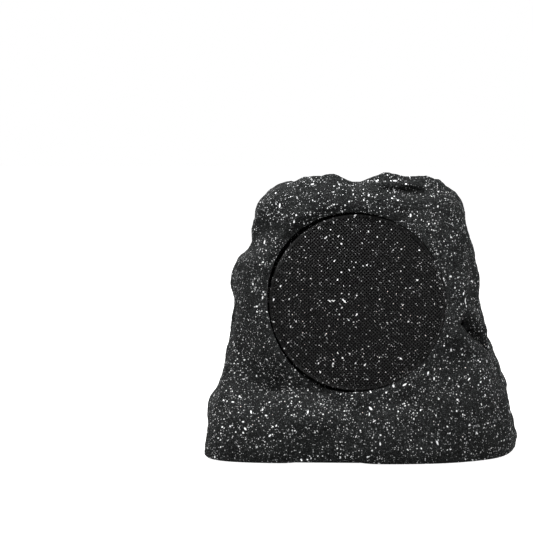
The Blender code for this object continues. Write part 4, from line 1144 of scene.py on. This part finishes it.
def make_pads():
    """The cover's three pads, and the raised marks on them and over the port."""
    low = COVER_TOP - 1.6
    profile = [
        (0, COVER_TOP),
        (PAD_RADIUS - 1.3, COVER_TOP),
        (PAD_RADIUS - 0.9, COVER_TOP - 0.03),
        (PAD_RADIUS - 0.25, COVER_TOP - 0.22),
        (PAD_RADIUS, COVER_TOP - 0.6),
        (PAD_RADIUS, low),
        (0, low),
    ]
    for name, x in BUTTONS.items():
        at = (x, COVER_CENTRE_Y)
        pad = turned(f"button_pad_{name}", profile, CONTROL @ Matrix.Translation((*at, 0)))
        piece(pad, "silicone", f"{name}_pad", (f"pad_{name}",))
        make_mark(name, at, f"{name}_pad")
    make_mark("port", USB_AT, "cover")


def make_mark(name, at, body):
    mark = tube(f"mark_{name}", icon(name, at), 0.26, CONTROL, 0.55)
    piece(mark, "icon", body)


def icon(name, at):
    """The strokes of a plain symbol on the cover."""
    z = COVER_TOP
    x, y = at
    if name == "power":
        return [(arc(2.7, 125, 415, at, z), False), ([(x, y + 0.6, z), (x, y + 3.4, z)], False)]
    if name == "pair":
        strokes = []
        link = rounded_rectangle(4.6, 2.2, 1.1, (0, 0), 6)
        cos45 = math.sqrt(0.5)
        for shift in (-1.15, 1.15):
            turned_link = [
                (x + shift + (a - b) * cos45, y + shift + (a + b) * cos45, z) for a, b in link
            ]
            strokes.append((turned_link, True))
        return strokes
    if name == "mode":
        waves = [(arc(r, 45, 135, (x, y - 2.4), z, 12), False) for r in (2.2, 3.9, 5.6)]
        return [*waves, (arc(0.35, 0, 330, (x, y - 2.2), z, 8), True)]
    shell = [(a, b, z) for a, b in rounded_rectangle(9.0, 3.4, 1.6, at, 8)]
    return [(shell, True), ([(x - 2.6, y, z), (x + 2.6, y, z)], False)]


# ======== screws, feet and base
def make_screw(name, at, head_radius, head_top, head_height, length, place, slot_size, flip=1):
    """A pan-head screw with a cross recess. Its shank runs along local -Z, or +Z if flipped."""
    shank = 1.5
    turn = place @ Matrix.Translation((*at, 0)) @ Matrix.Scale(flip, 4, (0, 0, 1))
    profile = [(0, head_top)]
    for degrees in (90, 62, 40, 20, 0):
        a = math.radians(degrees)
        radius = head_radius * (0.62 + 0.38 * math.cos(a))
        profile.append((radius, head_top - head_height * 0.75 * (1 - math.sin(a))))
    profile += [
        (head_radius, head_top - head_height),
        (shank, head_top - head_height),
        (shank, head_top - length + 1.5),
        (0.4, head_top - length),
        (0, head_top - length),
    ]
    screw = turned(name, profile, turn, 32)
    deep = head_top - head_height * 0.75
    slot = (slot_size * 0.26, slot_size)
    for size in (slot, slot[::-1]):
        outline = rounded_rectangle(*size, 0.12, steps=2)
        bar = prism(outline, deep, 60, turn)
        weld(bar.data, 0.0001)
        subtract(screw, bar)
    return screw


def make_screws():
    """The control plate's screws and the base's, which point up."""
    top = SINK_FLOOR + GAP + 1.6
    for i, at in enumerate(PLATE_SCREWS, 1):
        screw = make_screw(f"plate_fixing_{i}", at, 2.8, top, 1.6, 9.4, CONTROL, 3.2)
        piece(screw, "black_screw", stands_for=(f"control_screw_{i}",))
    top = -BASE_BOTTOM + GAP + 2.4
    for i, at in enumerate(base_screw_places(), 1):
        screw = make_screw(f"base_fixing_{i}", at, 3.8, top, 2.4, 22, WORLD, 4.4, flip=-1)
        piece(screw, "screw", stands_for=(f"base_screw_{i}",))


def make_feet():
    """Rubber feet, each with a groove round its sole."""
    top = BASE_BOTTOM - GAP
    profile = [
        (0, top),
        (FOOT_RADIUS, top),
        (FOOT_RADIUS, top - 2.2),
        (FOOT_RADIUS - 0.5, top - 2.7),
        (FOOT_RADIUS - 0.5, 2.0),
        (FOOT_RADIUS - 0.9, 0.8),
        (FOOT_RADIUS - 1.9, 0.1),
        (FOOT_RADIUS - 2.6, 0.0),
        (6.2, 0.0),
        (6.0, 0.6),
        (4.2, 0.6),
        (4.0, 0.0),
        (0, 0),
    ]
    for name, at in FEET.items():
        foot = turned(f"rubber_foot_{name}", profile, Matrix.Translation((*at, 0)))
        piece(foot, "rubber", stands_for=(f"foot_{name}",))


def make_base():
    """The plate under the rock, with its screw holes."""
    outline = plan_outline(12, PLATE_INSET)
    holes = [circle(2.0, at) for at in base_screw_places()]
    sheet = rounded_plate("sheet", [outline, *holes], BASE_BOTTOM, BASE_TOP, 0.6, WORLD)
    piece(sheet, "black_plastic", stands_for=("base_plate",))


def make_panel():
    """The solar panel, which lies on its seal."""
    seal = 1.2
    low = PANEL_LEDGE + GAP + seal + GAP
    outline = rounded_rectangle(PANEL_SIZE[0], PANEL_SIZE[1], 1.2)
    panel = rounded_plate("solar_cells", [outline], low, low + PANEL_SIZE[2], 0.35, PANEL)
    piece(panel, "solar", stands_for=("solar_panel",))


# ======== CAD nodes that stay
# The starts of the nodes' names, by finish
KEPT = {
    "rubber": (
        "base_seal", "driver_seal", "driver_surround", "dust_cap", "control_seal", "panel_seal",
    ),
    "cloth": ("grille_cloth", "spider"),
    "black_steel": ("driver_basket",),
    "paper": ("driver_cone",),
    "copper": ("voice_coil",),
    "steel": ("front_plate", "yoke", "board_screw", "usb_socket"),
    "ferrite": ("magnet",),
    "black_plastic": ("driver_terminals", "key", "battery_cradle"),
    "screw": ("driver_screw",),
    "circuit": ("main_board",),
    "sleeve": ("battery_cell",),
    "lead": ("speaker_lead", "battery_lead", "panel_lead"),
}


def finish_kept_nodes():
    """Gives every node that no piece stands for its finish."""
    for finish, starts in KEPT.items():
        for name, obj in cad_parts.items():
            if name.startswith(starts):
                obj.data.materials.clear()
                obj.data.materials.append(FINISHES[finish])


# ======== light and camera
def area_light(name, at, size, power):
    """A softbox aimed at the speaker. Its place and its size are in metres."""
    target = Vector((0, 0, 0.12))
    data = bpy.data.lights.new(name, "AREA")
    data.shape = "RECTANGLE"
    data.size, data.size_y = size
    data.energy = power
    lamp = in_scene(name, data)
    lamp.location = at
    lamp.rotation_euler = (target - Vector(at)).to_track_quat("-Z", "Y").to_euler()


def make_floor():
    """A pale floor. It glows white for the camera alone, so the glow doesn't light the speaker."""
    half = 9000
    corners = [(-half, -half, 0), (half, -half, 0), (half, half, 0), (-half, half, 0)]
    floor = loose("floor", corners, [(0, 1, 2, 3)])
    tree = Tree("floor", Emission_Color=(1, 1, 1))
    tone = tree.mix(tree.noise(160, 3), (0.42, 0.42, 0.42), (0.44, 0.44, 0.44))
    glow = tree.nodes.new("ShaderNodeLightPath").outputs["Is Camera Ray"]
    floor.data.materials.append(tree.use(Base_Color=tone, Roughness=0.9, Emission_Strength=glow))


def make_studio():
    """White behind the speaker, a dim even light on it, and four softboxes."""
    world = bpy.data.worlds.new("studio")
    world.use_nodes = True
    nodes, links = world.node_tree.nodes, world.node_tree.links
    light = nodes["Background"]
    light.inputs["Strength"].default_value = 0.12
    seen = nodes.new("ShaderNodeBackground")
    path = nodes.new("ShaderNodeLightPath")
    either = nodes.new("ShaderNodeMixShader")
    for shader in (light, seen):
        shader.inputs["Color"].default_value = (1, 1, 1, 1)
    links.new(path.outputs["Is Camera Ray"], either.inputs[0])
    links.new(light.outputs[0], either.inputs[1])
    links.new(seen.outputs[0], either.inputs[2])
    links.new(either.outputs[0], nodes["World Output"].inputs["Surface"])
    bpy.context.scene.world = world
    area_light("key", (-1.15, -0.95, 1.25), (0.5, 0.5), 23.5)
    area_light("top", (0.1, -0.4, 1.7), (0.7, 0.5), 34)
    area_light("side", (1.6, -0.6, 0.6), (0.7, 0.7), 11)
    area_light("back", (-0.5, 1.3, 1.3), (1.4, 1.4), 14)


def make_camera():
    """Looks from 6 degrees above, 1.5 m away, aimed left of the speaker and above it, so that
    the speaker stands right of the picture's centre and below it."""
    target = Vector((0, 0, 0.115))
    elevation = math.radians(6)
    distance = 1.5
    data = bpy.data.cameras.new("camera")
    data.sensor_width = 36
    data.lens = 119.8
    camera = in_scene("camera", data)
    offset = Vector((0, -math.cos(elevation), math.sin(elevation))) * distance
    camera.location = target + offset
    left = math.radians(3.067)
    up = math.radians(1.318)
    camera.rotation_euler = (math.pi / 2 - elevation + up, 0, left)
    bpy.context.scene.camera = camera


make_rock()
make_grille()
make_control_plate()
make_cover()
make_pads()
make_screws()
make_feet()
make_base()
make_panel()
finish_kept_nodes()
make_floor()
make_studio()
make_camera()
bpy.context.scene.view_settings.view_transform = "Standard"
